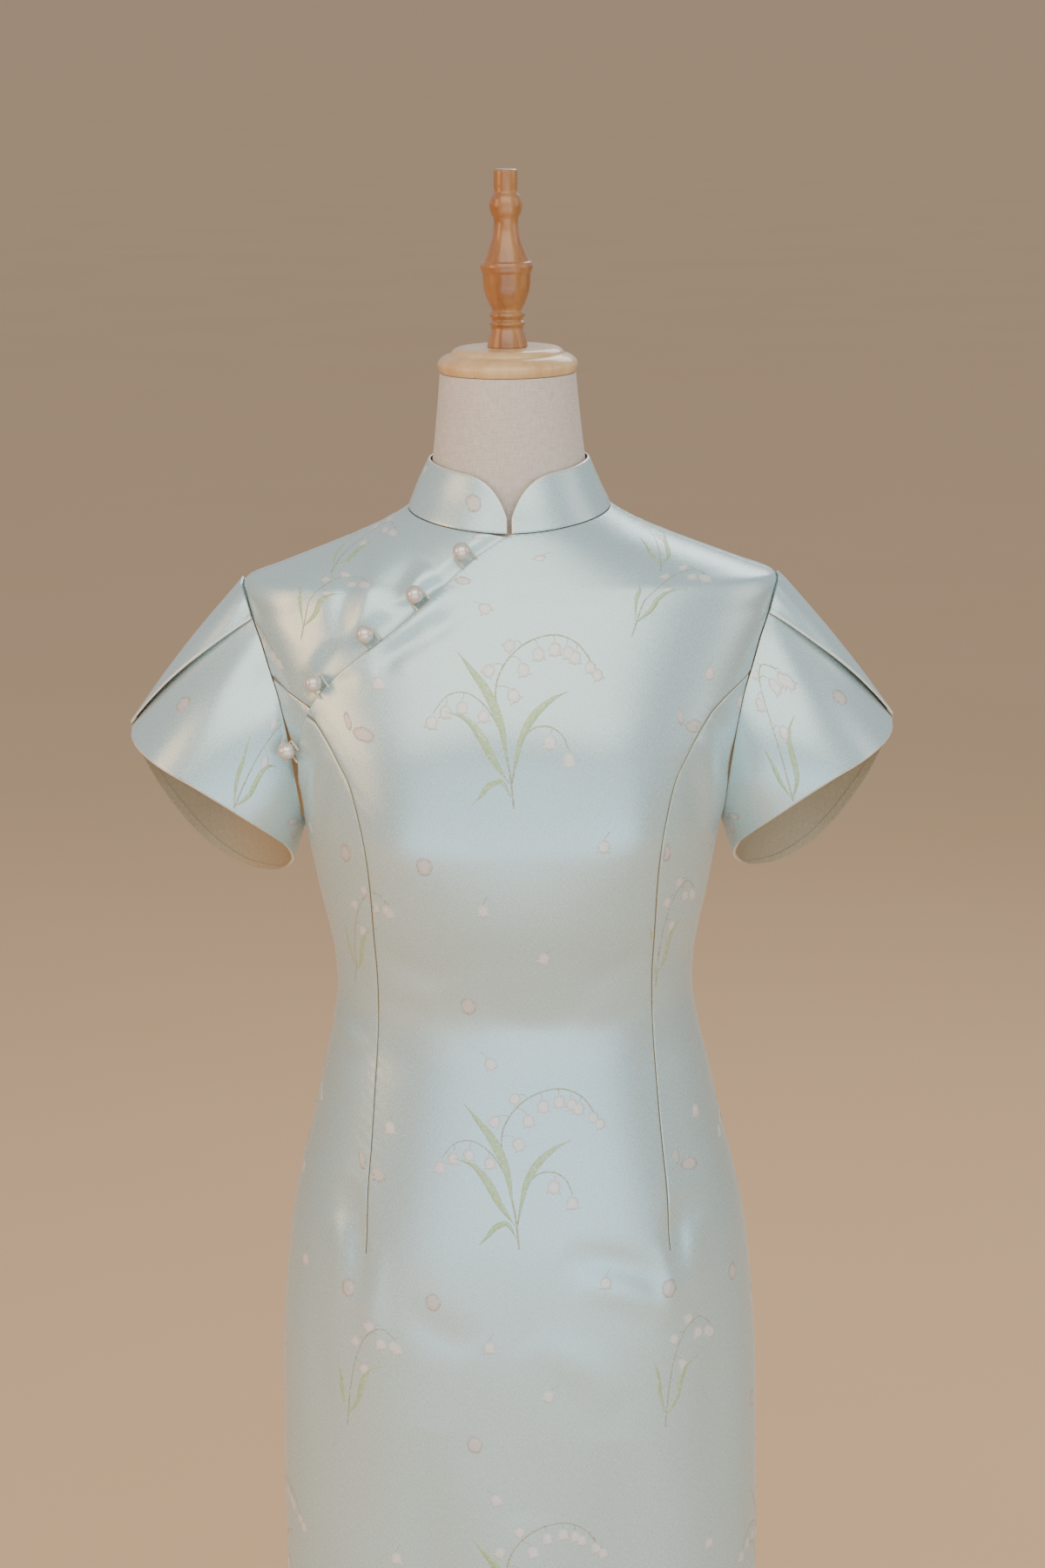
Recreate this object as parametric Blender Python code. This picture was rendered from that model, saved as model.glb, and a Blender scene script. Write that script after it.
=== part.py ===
"""Cheongsam with tulip sleeves, worn on a limbless dress form that stands on a pole and a round base.

Metres, +Z up, the wearer faces -Y. The origin is on the floor under the pole.
Every panel is cut from one skin around the body, so neighbouring edges meet at their seams.
"""

import bisect
import math

import bmesh
import bpy
from mathutils import Vector
from mathutils.geometry import delaunay_2d_cdt, intersect_point_line

MM = 0.001

# Cloth
WALL = 1.6 * MM
SEAM_GAP = 0.3 * MM
FLAP_SINK = 3.0 * MM         # the under flap lies this far below the front where they lap
FLAP_LAP = 12 * MM           # width of the flap that runs on under the front
SINK_START = 3 * MM
SINK_END = 22 * MM

# Heights of the garment
HEM = 0.230
SLIT_TOP = 0.500
SLIT_SPREAD = 2.5 * MM       # how far each slit edge stands back from the side line at the hem
DART_END = 0.826
ARMPIT = 1.118
PRINCESS_TOP = 1.229
FLAP_MEETS_ARMHOLE = 1.157
SHOULDER_TIP = 1.2915
NECK_SIDE = 1.341
NECK_FRONT = 1.330
NECK_BACK = 1.346

# Bust, as a soft swelling on the front of each section
BUST_HEIGHT = 1.130
BUST_RISE = 6 * MM
BUST_ANGLE = math.radians(34)
BUST_SPREAD = math.radians(17)
BUST_REACH = 0.060

# Collar
COLLAR_HALF_WIDTH = 55.5 * MM
COLLAR_FRONT = 53.5 * MM
COLLAR_BACK = 52.0 * MM
COLLAR_TOP_FRONT = 1.3675
COLLAR_TOP_SIDE = 1.3745
COLLAR_TOP_BACK = 1.3790
COLLAR_CORNER = 44 * MM      # length of the rounded front corner, along the band
COLLAR_OPEN = 1.5 * MM       # half the gap at the centre front
COLLAR_LIFT = 0.45 * MM
COLLAR_RADIUS = 62 * MM      # mean radius of the band, to turn its angles into lengths

# Sleeves: shares of a turn round the armhole, counted from the shoulder tip towards the front
PETAL_LAP = 0.088
PETAL_TIP_LAP = 0.006
PETAL_LIFT = 2.4 * MM        # the petal from the back lies this far above the petal from the front
PETAL_GAPE = 2.4 * MM        # and this much more halfway to the hem
LIFT_START = 0.78
LIFT_END = 0.90
SLEEVE_SEAM = 1.2 * MM
SLEEVE_PUFF = 7 * MM
TIP_ROUND = 0.05
TIP_SHORT = 0.035

# Pearl buttons and their cord loops
PEARL_RADIUS = 6.2 * MM
PEARL_TO_EDGE = 8.5 * MM
LAST_PEARL_TO_EDGE = 7.5 * MM
PEARL_STAND = 0.6 * MM
LOOP_RADIUS = 5.6 * MM
LOOP_CORD = 0.75 * MM
LOOP_STAND = 1.15 * MM

# Dress form and stand
FORM_INSET = 7 * MM
ARMHOLE_INSET = 8 * MM
FORM_BOTTOM = 0.680
FORM_EDGE = 14 * MM
CAP_BOTTOM = 1.4328
CAP_TOP = 1.4500
POLE_RADIUS = 12.7 * MM
BASE_RADIUS = 180 * MM
HUB_TOP = 0.055

ROUND = math.tau

# Flat chart of the skin
CHART_RADIUS = 0.130
SHOULDER_FOLD = 1.285
SHOULDER_STRETCH = 1.6

# Horizontal sections of the dressed body, from the neck down, in millimetres at a height in metres.
# height, half_width, front, back, front_square, back_square
SECTIONS = [
    (1.350, 62.0, 49.0, 53.0, 2.00, 2.00),
    (1.346, 65.5, 52.0, 57.0, 2.00, 2.00),
    (1.341, 70.0, 56.0, 62.0, 2.00, 2.00),
    (1.331, 86.5, 63.5, 71.0, 2.00, 2.00),
    (1.3245, 100.0, 67.5, 76.0, 2.00, 2.00),
    (1.316, 121.0, 72.0, 81.0, 2.00, 2.00),
    (1.308, 142.0, 76.0, 85.0, 2.02, 2.02),
    (1.300, 163.0, 80.0, 88.5, 2.04, 2.05),
    (1.2915, 184.0, 84.0, 91.5, 2.06, 2.10),
    (1.270, 184.5, 94.0, 97.0, 2.10, 2.20),
    (1.250, 180.5, 103.0, 101.0, 2.15, 2.25),
    (1.220, 172.0, 115.0, 104.5, 2.25, 2.30),
    (1.200, 166.5, 121.5, 106.0, 2.35, 2.30),
    (1.180, 161.0, 125.5, 106.5, 2.42, 2.30),
    (1.140, 151.5, 128.5, 105.0, 2.50, 2.30),
    (1.116, 145.0, 128.0, 102.5, 2.50, 2.30),
    (1.070, 136.0, 120.5, 96.0, 2.40, 2.25),
    (1.033, 128.5, 110.0, 87.5, 2.30, 2.20),
    (1.000, 126.0, 101.5, 81.0, 2.25, 2.20),
    (0.973, 129.5, 100.0, 81.0, 2.25, 2.20),
    (0.9445, 136.0, 102.5, 85.5, 2.25, 2.20),
    (0.893, 147.5, 108.5, 98.0, 2.22, 2.25),
    (0.868, 154.0, 111.0, 105.0, 2.20, 2.28),
    (0.827, 162.5, 113.5, 114.0, 2.20, 2.30),
    (0.765, 169.0, 114.0, 119.0, 2.20, 2.30),
    (0.711, 171.5, 113.0, 117.0, 2.20, 2.28),
    (0.627, 172.5, 111.0, 112.5, 2.20, 2.25),
    (0.548, 172.5, 109.0, 109.0, 2.18, 2.20),
    (0.400, 168.5, 104.5, 104.5, 2.14, 2.14),
    (0.220, 162.0, 99.0, 99.0, 2.10, 2.10),
]

# Armhole seam: how far out it runs, in millimetres, at a height in metres.
# height, front_out, back_out
ARMHOLE = [
    (1.284, 183.0, 182.0),
    (1.268, 178.3, 176.5),
    (1.253, 172.5, 171.0),
    (1.2325, 166.0, 164.5),
    (1.217, 160.8, 160.0),
    (1.198, 156.3, 156.5),
    (1.183, 153.6, 153.6),
    (1.162, 150.6, 150.2),
    (1.1445, 148.3, 147.8),
    (1.130, 146.8, 146.6),
]

# Long curved dart of the front, armhole to hip: distance from the centre, in millimetres.
# height, out
PRINCESS = [
    (1.229, 164.8),
    (1.2125, 140.5),
    (1.195, 126.5),
    (1.180, 118.0),
    (1.1655, 110.5),
    (1.135, 103.0),
    (1.105, 99.0),
    (1.055, 96.5),
    (1.019, 95.0),
    (0.979, 96.0),
    (0.936, 99.0),
    (0.904, 101.5),
    (0.873, 104.5),
    (0.826, 107.5),
]

# Diagonal opening, collar to underarm: distance towards the wearer's right, in millimetres.
# height, out
OPENING = [
    (1.3300, 0.0),
    (1.3143, 25.0),
    (1.2810, 64.0),
    (1.2590, 92.0),
    (1.2495, 105.0),
    (1.2276, 129.5),
    (1.2094, 140.0),
    (1.1925, 145.3),
    (1.1787, 147.8),
    (1.1570, 149.6),
]
OPENING_CROSSES_PRINCESS = 1.2094

# Seam of the under flap above its side piece, from the armhole to the opening.
# height, out
FLAP_SEAM_TOP = 1.2285
FLAP_SEAM = [
    (1.2225, 153.5),
    (1.2165, 145.0),
]

# Hidden edge of the flap's side piece, under the front.
# height, out
FLAP_SIDE_LOW = 1.150
FLAP_SIDE_UNDER = [
    (1.158, 141.0),
    (1.180, 138.5),
    (1.198, 134.5),
    (1.2085, 131.0),
]

# Mouth of a sleeve, from the outer tip round the front, underarm and back, in millimetres.
# turn, out, along_y, height
MOUTH = [
    (0.00, 269, 2, 1184),
    (0.07, 262, -28, 1178),
    (0.13, 245, -52, 1169),
    (0.20, 219, -64, 1156),
    (0.30, 184, -61, 1132),
    (0.37, 167, -47, 1117),
    (0.44, 157, -22, 1102),
    (0.50, 156, 5, 1087),
    (0.57, 168, 32, 1074),
    (0.66, 195, 56, 1073),
    (0.76, 224, 62, 1091),
    (0.86, 249, 44, 1128),
    (0.94, 263, 21, 1163),
]

# Pearls along the opening.
# height, out
PEARLS = [
    (1.3168, 31.5),
    (1.2905, 63.5),
    (1.2645, 96.5),
    (1.2315, 131.0),
    (1.1825, 148.8),
]

# Turned shapes, from the top down, in millimetres: height above the foot and radius.
FINIAL = [
    (120.7, 7.4), (120.0, 8.0), (105.0, 8.0), (104.6, 8.6), (101.5, 10.4), (96.0, 11.3), (91.0, 10.3),
    (87.5, 8.6), (83.5, 8.3), (77.0, 9.2), (70.0, 11.3), (62.0, 14.6), (58.6, 16.2), (57.8, 17.4),
    (55.0, 18.0), (51.4, 17.2), (50.6, 16.6), (40.0, 15.9), (31.0, 13.0), (25.6, 10.3), (24.6, 10.9),
    (22.0, 12.4), (19.4, 10.9), (18.6, 10.6), (16.2, 12.4), (13.6, 11.0), (12.4, 10.9), (6.0, 12.8),
    (0.3, 13.9),
]

# Neck of the form, in millimetres at a height in metres.
# height, half_width, front, back
NECK = [
    (1.345, 61.0, 52.0, 52.5),
    (1.352, 57.6, 51.6, 51.0),
    (1.362, 54.4, 51.0, 50.0),
    (1.3745, 52.6, 50.6, 49.2),
    (1.392, 50.6, 49.6, 48.4),
    (1.412, 48.6, 48.3, 47.6),
    (1.4325, 46.8, 46.8, 46.8),
]


def clear_scene():
    for thing in list(bpy.data.objects):
        bpy.data.objects.remove(thing, do_unlink=True)


def finish(name, color, roughness, metallic=0.0):
    material = bpy.data.materials.new(name)
    material.use_nodes = True
    shader = material.node_tree.nodes["Principled BSDF"]
    shader.inputs["Base Color"].default_value = (*color, 1.0)
    shader.inputs["Roughness"].default_value = roughness
    shader.inputs["Metallic"].default_value = metallic
    return material


def add_object(name, points, faces, material, smooth_below=35):
    mesh = bpy.data.meshes.new(name)
    mesh.from_pydata([tuple(p) for p in points], [], faces)
    mesh.validate()
    mesh.materials.append(material)
    mesh.shade_smooth()
    mesh.set_sharp_from_angle(angle=math.radians(smooth_below))
    thing = bpy.data.objects.new(name, mesh)
    bpy.context.collection.objects.link(thing)
    return thing


# ---- curves through short tables ----


def smooth(table, column, at):
    """Value of a column at a place, on a cubic through the table's rows."""
    rows = sorted(table)
    keys = [row[0] for row in rows]
    at = min(max(at, keys[0]), keys[-1])
    i = min(max(bisect.bisect_right(keys, at) - 1, 0), len(keys) - 2)

    def slope(k):
        low, high = max(k - 1, 0), min(k + 1, len(rows) - 1)
        return (rows[high][column] - rows[low][column]) / (keys[high] - keys[low])

    span = keys[i + 1] - keys[i]
    t = (at - keys[i]) / span
    a, b = rows[i][column], rows[i + 1][column]
    return (
        a * (1 + 2 * t) * (1 - t) ** 2
        + slope(i) * span * t * (1 - t) ** 2
        + b * t * t * (3 - 2 * t)
        + slope(i + 1) * span * t * t * (t - 1)
    )


def ease(low, high, x):
    t = min(max((x - low) / (high - low), 0.0), 1.0)
    return t * t * (3 - 2 * t)


# ---- the skin around the body ----


def section(height):
    width, front, back = (smooth(SECTIONS, c, height) * MM for c in (1, 2, 3))
    return width, front, back, smooth(SECTIONS, 4, height), smooth(SECTIONS, 5, height)


def reach(angle, height):
    """Distance of the skin from the body's axis. Angle 0 faces the front, a quarter turn is +X."""
    width, front, back, front_square, back_square = section(height)
    depth, square = (front, front_square) if math.cos(angle) >= 0 else (back, back_square)
    side, ahead = abs(math.sin(angle)) / width, abs(math.cos(angle)) / depth
    radius = (side**square + ahead**square) ** (-1 / square)
    off_bust = (abs(math.remainder(angle, ROUND)) - BUST_ANGLE) / BUST_SPREAD
    off_height = (height - BUST_HEIGHT) / BUST_REACH
    return radius + BUST_RISE * math.exp(-off_bust**2 - off_height**2)


def skin(angle, height):
    radius = reach(angle, height)
    return Vector((radius * math.sin(angle), -radius * math.cos(angle), height))


def outward(angle, height):
    step = 0.002
    around = skin(angle + step, height) - skin(angle - step, height)
    along = skin(angle, height + step) - skin(angle, height - step)
    return around.cross(along).normalized()


def layer(angle, height, depth):
    """Point a depth below the skin."""
    return skin(angle, height) - outward(angle, height) * depth


def front_angle(out, height):
    """Angle of the front skin at a distance from the centre line."""
    low, high = 0.0, math.pi / 2
    for _ in range(40):
        middle = (low + high) / 2
        if reach(middle, height) * math.sin(middle) < abs(out):
            low = middle
        else:
            high = middle
    return math.copysign(low, out)


def back_angle(out, height):
    _, _, depth, _, square = section(height)
    width = section(height)[0]
    share = min(abs(out) / width, 1.0)
    back = depth * (1 - share**square) ** (1 / square)
    return math.copysign(math.atan2(abs(out), -back), out)


# ---- edges of the panels, as (angle, height) ----


def heights_between(low, high):
    return [h for h in LEVELS if low + 0.004 < h < high - 0.004]


def level_list():
    """Heights that every panel shares: close at the shoulders, wider down the skirt."""
    steps = [(1.350, 1.290, 10), (1.290, 1.118, 9), (1.118, 0.970, 7), (0.970, 0.810, 7), (0.810, 0.230, 12)]
    levels = []
    for top, bottom, count in steps:
        levels += [top + (bottom - top) * i / count for i in range(count)]
    return sorted(levels + [HEM])


LEVELS = level_list()


def side_edge(sign, side, low, high):
    """A front (side 1) or back (side -1) panel's edge at the side line, half a seam gap away from it."""
    points = []
    for height in [low] + heights_between(low, high) + [high]:
        spread = SLIT_SPREAD * (1 - ease(HEM, SLIT_TOP, height)) if height < SLIT_TOP else 0.0
        back_off = (SEAM_GAP / 2 + spread) / section(height)[0]
        points.append((sign * (math.pi / 2 - side * back_off), height))
    return points


def armhole_point(sign, side, height):
    if side > 0:
        return sign * front_angle(smooth(ARMHOLE, 1, height) * MM, height), height
    return sign * back_angle(smooth(ARMHOLE, 2, height) * MM, height), height


def armhole_edge(sign, side, low=None, high=None):
    """Armhole from low to high; by default from the side seam to the shoulder seam."""
    rows = [row[0] for row in reversed(ARMHOLE)]
    points = [armhole_point(sign, side, h) for h in rows if (low or 0) < h < (high or 2)]
    if low:
        points.insert(0, armhole_point(sign, side, low))
    if high:
        points.append(armhole_point(sign, side, high))
    return points


def neck_height(angle):
    turn = math.cos(angle)
    low = NECK_FRONT if turn > 0 else NECK_BACK
    return NECK_SIDE + (low - NECK_SIDE) * abs(turn) ** 1.5


def neck_edge(start, end, count):
    angles = [start + (end - start) * i / count for i in range(count + 1)]
    return [(a, neck_height(a)) for a in angles]


def princess_edge(sign, top, shift):
    """Dart line from top down to its end, shifted sideways by half a gap, with its point left out."""
    points = []
    for height, _ in PRINCESS:
        if height < top - 0.002 and height > DART_END + 0.001:
            out = smooth(PRINCESS, 1, height) * MM
            points.append((sign * (front_angle(out, height) + shift / reach(0.8, height)), height))
    return points


def princess_point(sign, height):
    return sign * front_angle(smooth(PRINCESS, 1, height) * MM, height), height


def opening_point(height):
    return -front_angle(smooth(OPENING, 1, height) * MM, height), height


def opening_edge(low, high):
    rows = [row[0] for row in OPENING if low + 0.002 < row[0] < high - 0.002]
    middles = [h for h in (1.3225, 1.2975, 1.2700, 1.2390, 1.2190, 1.2010) if low < h < high]
    return [opening_point(h) for h in sorted(rows + middles, reverse=True)]


# ---- cloth walls ----


def shell(name, outer, inner, faces, material):
    """Closed wall between two copies of one patch, with a rim along the patch's edges."""
    count = len(outer)
    trial = sum(
        ((outer[f[1]] - outer[f[0]]).cross(outer[f[2]] - outer[f[0]])).dot(outer[f[0]] - inner[f[0]])
        for f in faces
    )
    if trial < 0:
        faces = [tuple(reversed(f)) for f in faces]
    edges = {}
    for f in faces:
        for a, b in zip(f, f[1:] + f[:1]):
            edges[(a, b)] = True
    walls = [tuple(f) for f in faces] + [tuple(i + count for i in reversed(f)) for f in faces]
    for a, b in edges:
        if (b, a) not in edges:
            walls.append((b, a, a + count, b + count))
    return add_object(name, outer + inner, walls, material)


def chart(angle, height):
    """Flat place of a skin point, with the flat tops of the shoulders stretched to their real length."""
    return Vector((angle * CHART_RADIUS, height + max(height - SHOULDER_FOLD, 0.0) * SHOULDER_STRETCH))


def unchart(spot):
    """Angle and height of a place on the chart."""
    over = max(spot.y - SHOULDER_FOLD, 0.0)
    return spot.x / CHART_RADIUS, min(spot.y, SHOULDER_FOLD) + over / (1 + SHOULDER_STRETCH)


def inside(point, outline):
    hit = False
    for a, b in zip(outline, outline[1:] + outline[:1]):
        if (a.y > point.y) != (b.y > point.y):
            if point.x < a.x + (b.x - a.x) * (point.y - a.y) / (b.y - a.y):
                hit = not hit
    return hit


def distance_to(point, line):
    best = 1.0
    for a, b in zip(line, line[1:]):
        near, share = intersect_point_line(point, a, b)
        near = a if share < 0 else b if share > 1 else near
        best = min(best, (point.to_3d() - near.to_3d()).length)
    return best


def panel(name, outline, material, columns, sink=None, keep_off=5 * MM):
    """Cloth wall cut from the skin along an outline of (angle, height), filled on a shared grid."""
    flat = [chart(*p) for p in outline]
    places = list(outline)
    closed = flat + flat[:1]
    for height in LEVELS:
        for angle in columns:
            spot = chart(angle, height)
            if inside(spot, flat) and distance_to(spot, closed) > keep_off:
                places.append((angle, height))
    spots = [chart(*p) for p in places]
    result = delaunay_2d_cdt(spots, [], [list(range(len(outline)))], 1, 1e-7)
    corners, faces, origins = result[0], result[2], result[3]
    if len(corners) != len(spots):
        raise ValueError(f"{name}: the outline crosses itself")
    order = [places[o[0]] for o in origins]
    depth = sink or (lambda angle, height: 0.0)
    outer = [layer(a, h, depth(a, h)) for a, h in order]
    inner = [layer(a, h, depth(a, h) + WALL) for a, h in order]
    return shell(name, outer, inner, [tuple(f) for f in faces], material)


def grid_angles(first, last, count):
    return [first + (last - first) * (i + 0.5) / count for i in range(count)]


# ---- the garment ----


def dart_notch(sign, top):
    """Slit along the long dart: down one side to its point and up the other."""
    half = SEAM_GAP / 2
    near = princess_edge(sign, top, -half)
    far = princess_edge(sign, top, half)
    return near, [princess_point(sign, DART_END)], list(reversed(far))


def build_front(material):
    """Front in one piece: right side, lower left side and the lap up to the diagonal opening."""
    cross = OPENING_CROSSES_PRINCESS
    near_right, point_right, far_right = dart_notch(1, PRINCESS_TOP)
    near_left, point_left, far_left = dart_notch(-1, cross)
    outline = []
    outline += [(a, HEM) for a in grid_angles(-math.pi / 2, math.pi / 2, 20)]
    outline += side_edge(1, 1, HEM, ARMPIT)
    outline += armhole_edge(1, 1, high=PRINCESS_TOP - 0.0012)
    outline += list(reversed(far_right))
    outline += point_right
    outline += list(reversed(near_right))
    outline += armhole_edge(1, 1, low=PRINCESS_TOP + 0.0012)
    outline += side_edge(1, 1, SHOULDER_TIP, NECK_SIDE)
    outline += neck_edge(math.pi / 2, 0.0, 10)[1:]
    outline += opening_edge(cross, NECK_FRONT) + [opening_point(cross + SEAM_GAP / 2)]
    outline += near_left + point_left + far_left
    outline += [opening_point(cross - SEAM_GAP / 2)] + opening_edge(FLAP_MEETS_ARMHOLE, cross)
    outline += list(reversed(armhole_edge(-1, 1, high=FLAP_MEETS_ARMHOLE)))
    outline += list(reversed(side_edge(-1, 1, HEM, ARMPIT)))
    return panel("front", outline, material, grid_angles(-math.pi / 2, math.pi / 2, 20))


def build_back(material):
    """Back in one piece."""
    first, last = math.pi / 2, 3 * math.pi / 2

    def turn(points):
        return [(a % ROUND, h) for a, h in points]

    outline = [(a, HEM) for a in grid_angles(first, last, 18)]
    outline += turn(side_edge(-1, -1, HEM, ARMPIT))
    outline += turn(armhole_edge(-1, -1))
    outline += turn(side_edge(-1, -1, SHOULDER_TIP, NECK_SIDE))
    outline += neck_edge(last, first, 16)[1:-1]
    outline += list(reversed(side_edge(1, -1, SHOULDER_TIP, NECK_SIDE)))
    outline += list(reversed(armhole_edge(1, -1)))
    outline += list(reversed(side_edge(1, -1, HEM, ARMPIT)))
    return panel("back", outline, material, grid_angles(first, last, 18))


def opening_line():
    return [chart(*opening_point(h)) for h in [row[0] for row in OPENING]]


def flap_depth(angle, height):
    """The flap lies below the front along the opening and comes up level with it further away."""
    away = distance_to(chart(angle, height), OPENING_LINE)
    line = [(p.y, p.x) for p in OPENING_LINE]
    under = chart(angle, height).x > smooth(line, 1, chart(angle, height).y)
    return FLAP_SINK if under else FLAP_SINK * (1 - ease(SINK_START, SINK_END, away))


OPENING_LINE = opening_line()


def lapped(height, lap):
    """Point below the opening, a lap's width in under the front, for the opening's point at a height."""
    here = chart(*opening_point(height))
    ahead = chart(*opening_point(max(height - 0.004, FLAP_MEETS_ARMHOLE)))
    behind = chart(*opening_point(min(height + 0.004, NECK_FRONT)))
    run = (ahead - behind).normalized()
    return unchart(here + Vector((-run.y, run.x)) * lap)


def build_flap(material):
    """Under flap: the wearer's upper right front, whose lower edge runs under the front."""
    cross = OPENING_CROSSES_PRINCESS
    aside = SEAM_GAP / 2 / CHART_RADIUS
    under = lapped(cross + 0.004, FLAP_LAP)
    outline = neck_edge(0.10, -math.pi / 2, 11)[:-1]
    outline += list(reversed(side_edge(-1, 1, SHOULDER_TIP, NECK_SIDE)))
    outline += list(reversed(armhole_edge(-1, 1, low=FLAP_SEAM_TOP + SEAM_GAP / 2)))
    outline += [(aside - front_angle(out * MM, h), h) for h, out in FLAP_SEAM]
    outline += [under]
    outline += [lapped(h, FLAP_LAP) for h in (1.2276, 1.2495, 1.2700, 1.2900, 1.3080)]
    return panel("under_flap", outline, material, grid_angles(-math.pi / 2, math.pi / 2, 20), flap_depth)


def build_flap_side(material):
    """Side piece of the under flap, between the armhole, the curved seam and the opening."""
    aside = SEAM_GAP / 2 / CHART_RADIUS
    outline = list(reversed(armhole_edge(-1, 1, low=FLAP_SIDE_LOW, high=FLAP_SEAM_TOP - SEAM_GAP / 2)))
    outline += [(-front_angle(out * MM, h), h) for h, out in FLAP_SIDE_UNDER]
    outline += [(-aside - front_angle(out * MM, h), h) for h, out in reversed(FLAP_SEAM)]
    return panel("flap_side", outline, material, grid_angles(-math.pi / 2, math.pi / 2, 20), flap_depth, 3 * MM)


def collar_base(angle):
    """Foot of the collar: on the neckline, a hair above the panels' edge."""
    return skin(angle, neck_height(angle)) + Vector((0, 0, COLLAR_LIFT))


def collar_top(angle):
    depth = COLLAR_FRONT if math.cos(angle) > 0 else COLLAR_BACK
    radius = math.hypot(math.sin(angle) / COLLAR_HALF_WIDTH, math.cos(angle) / depth) ** -1
    ahead = math.cos(angle)
    rim = COLLAR_TOP_FRONT if ahead > 0 else COLLAR_TOP_BACK
    height = COLLAR_TOP_SIDE + (rim - COLLAR_TOP_SIDE) * abs(ahead) ** 1.5
    return Vector((radius * math.sin(angle), -radius * math.cos(angle), height))


def build_collar(material):
    """Stand collar: one band from the right of the centre front round to the left, corners rounded."""
    rows, columns = 4, 44
    start = COLLAR_OPEN / (COLLAR_FRONT + 8 * MM)

    def corner(angle):
        along = abs(math.remainder(angle, ROUND)) * COLLAR_RADIUS
        share = min(along / COLLAR_CORNER, 1.0)
        return max((1 - (1 - share) ** 3) ** 0.6, 0.12)

    outer, inner, faces = [], [], []
    for i in range(columns + 1):
        crowd = i / columns
        crowd = crowd - math.sin(ROUND * crowd) / ROUND * 0.72
        angle = start + (ROUND - 2 * start) * crowd
        for j in range(rows + 1):
            up = corner(angle) * j / rows

            def on_band(a, share):
                return collar_base(a).lerp(collar_top(a), share)

            step = 0.004
            around = on_band(angle + step, up) - on_band(angle - step, up)
            rise = collar_top(angle) - collar_base(angle)
            normal = around.cross(rise).normalized()
            outer.append(on_band(angle, up))
            inner.append(on_band(angle, up) - normal * WALL)
    for i in range(columns):
        for j in range(rows):
            k = i * (rows + 1) + j
            faces.append((k, k + rows + 1, k + rows + 2, k + 1))
    return shell("collar", outer, inner, faces, material)


# ---- sleeves ----


def armhole_loop():
    """Armhole of the +X side as points from the shoulder tip down the front and up the back."""
    front = [skin(a, h) for a, h in reversed(armhole_edge(1, 1))]
    back = [skin(a, h) for a, h in armhole_edge(1, -1)]
    tip = skin(math.pi / 2, SHOULDER_TIP)
    pit = skin(math.pi / 2, ARMPIT)
    return [tip] + front + [pit] + back


def loop_table(points, half_at):
    """Closed table of turn, x, y, z: turn runs 0 to a half on the first stretch and on to 1 on the second."""
    runs = [0.0]
    for a, b in zip(points, points[1:] + points[:1]):
        runs.append(runs[-1] + (b - a).length)
    middle, whole = runs[half_at], runs[-1]
    turns = [r / middle / 2 if r <= middle else 0.5 + (r - middle) / (whole - middle) / 2 for r in runs[:-1]]
    return wrap([(t, *p) for t, p in zip(turns, points)])


def wrap(rows):
    before = [(row[0] - 1, *row[1:]) for row in rows[-4:]]
    after = [(row[0] + 1, *row[1:]) for row in rows[:4]]
    return before + rows + after


def on_loop(table, turn):
    turn = turn if -0.2 < turn < 1.2 else turn % 1
    return Vector((smooth(table, 1, turn), smooth(table, 2, turn), smooth(table, 3, turn)))


def sleeve_point(holes, mouths, turn, along):
    """Point of a sleeve: along 0 is the armhole seam and along 1 the hem."""
    root, rim = on_loop(holes, turn), on_loop(mouths, turn)
    run = rim - root
    root = root + run.normalized() * SLEEVE_SEAM
    middle = sum((on_loop(mouths, k / 8) for k in range(8)), Vector()) / 8
    away = (root.lerp(rim, 0.5) - middle.lerp(on_loop(holes, 0.25).lerp(on_loop(holes, 0.75), 0.5), 0.5))
    away = (away - away.project(run)).normalized()
    length = min(run.length / 0.11, 1.0)
    flank = math.sin(math.pi * 2 * (turn % 0.5)) ** 2
    puff = SLEEVE_PUFF * math.sin(math.pi * along) * flank * length
    return root.lerp(rim, along) + away * puff


def sleeve_shares():
    """Columns of a sleeve: as many in each lap, so the two crossing layers share their turns."""
    in_lap, between = 6, 26
    laps = [(k / in_lap, 0.0) for k in range(in_lap)]
    middle = [(1.0, k / between) for k in range(between + 1)]
    return laps + middle + [(1 - k / in_lap, 1.0) for k in range(1, in_lap + 1)]


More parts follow.
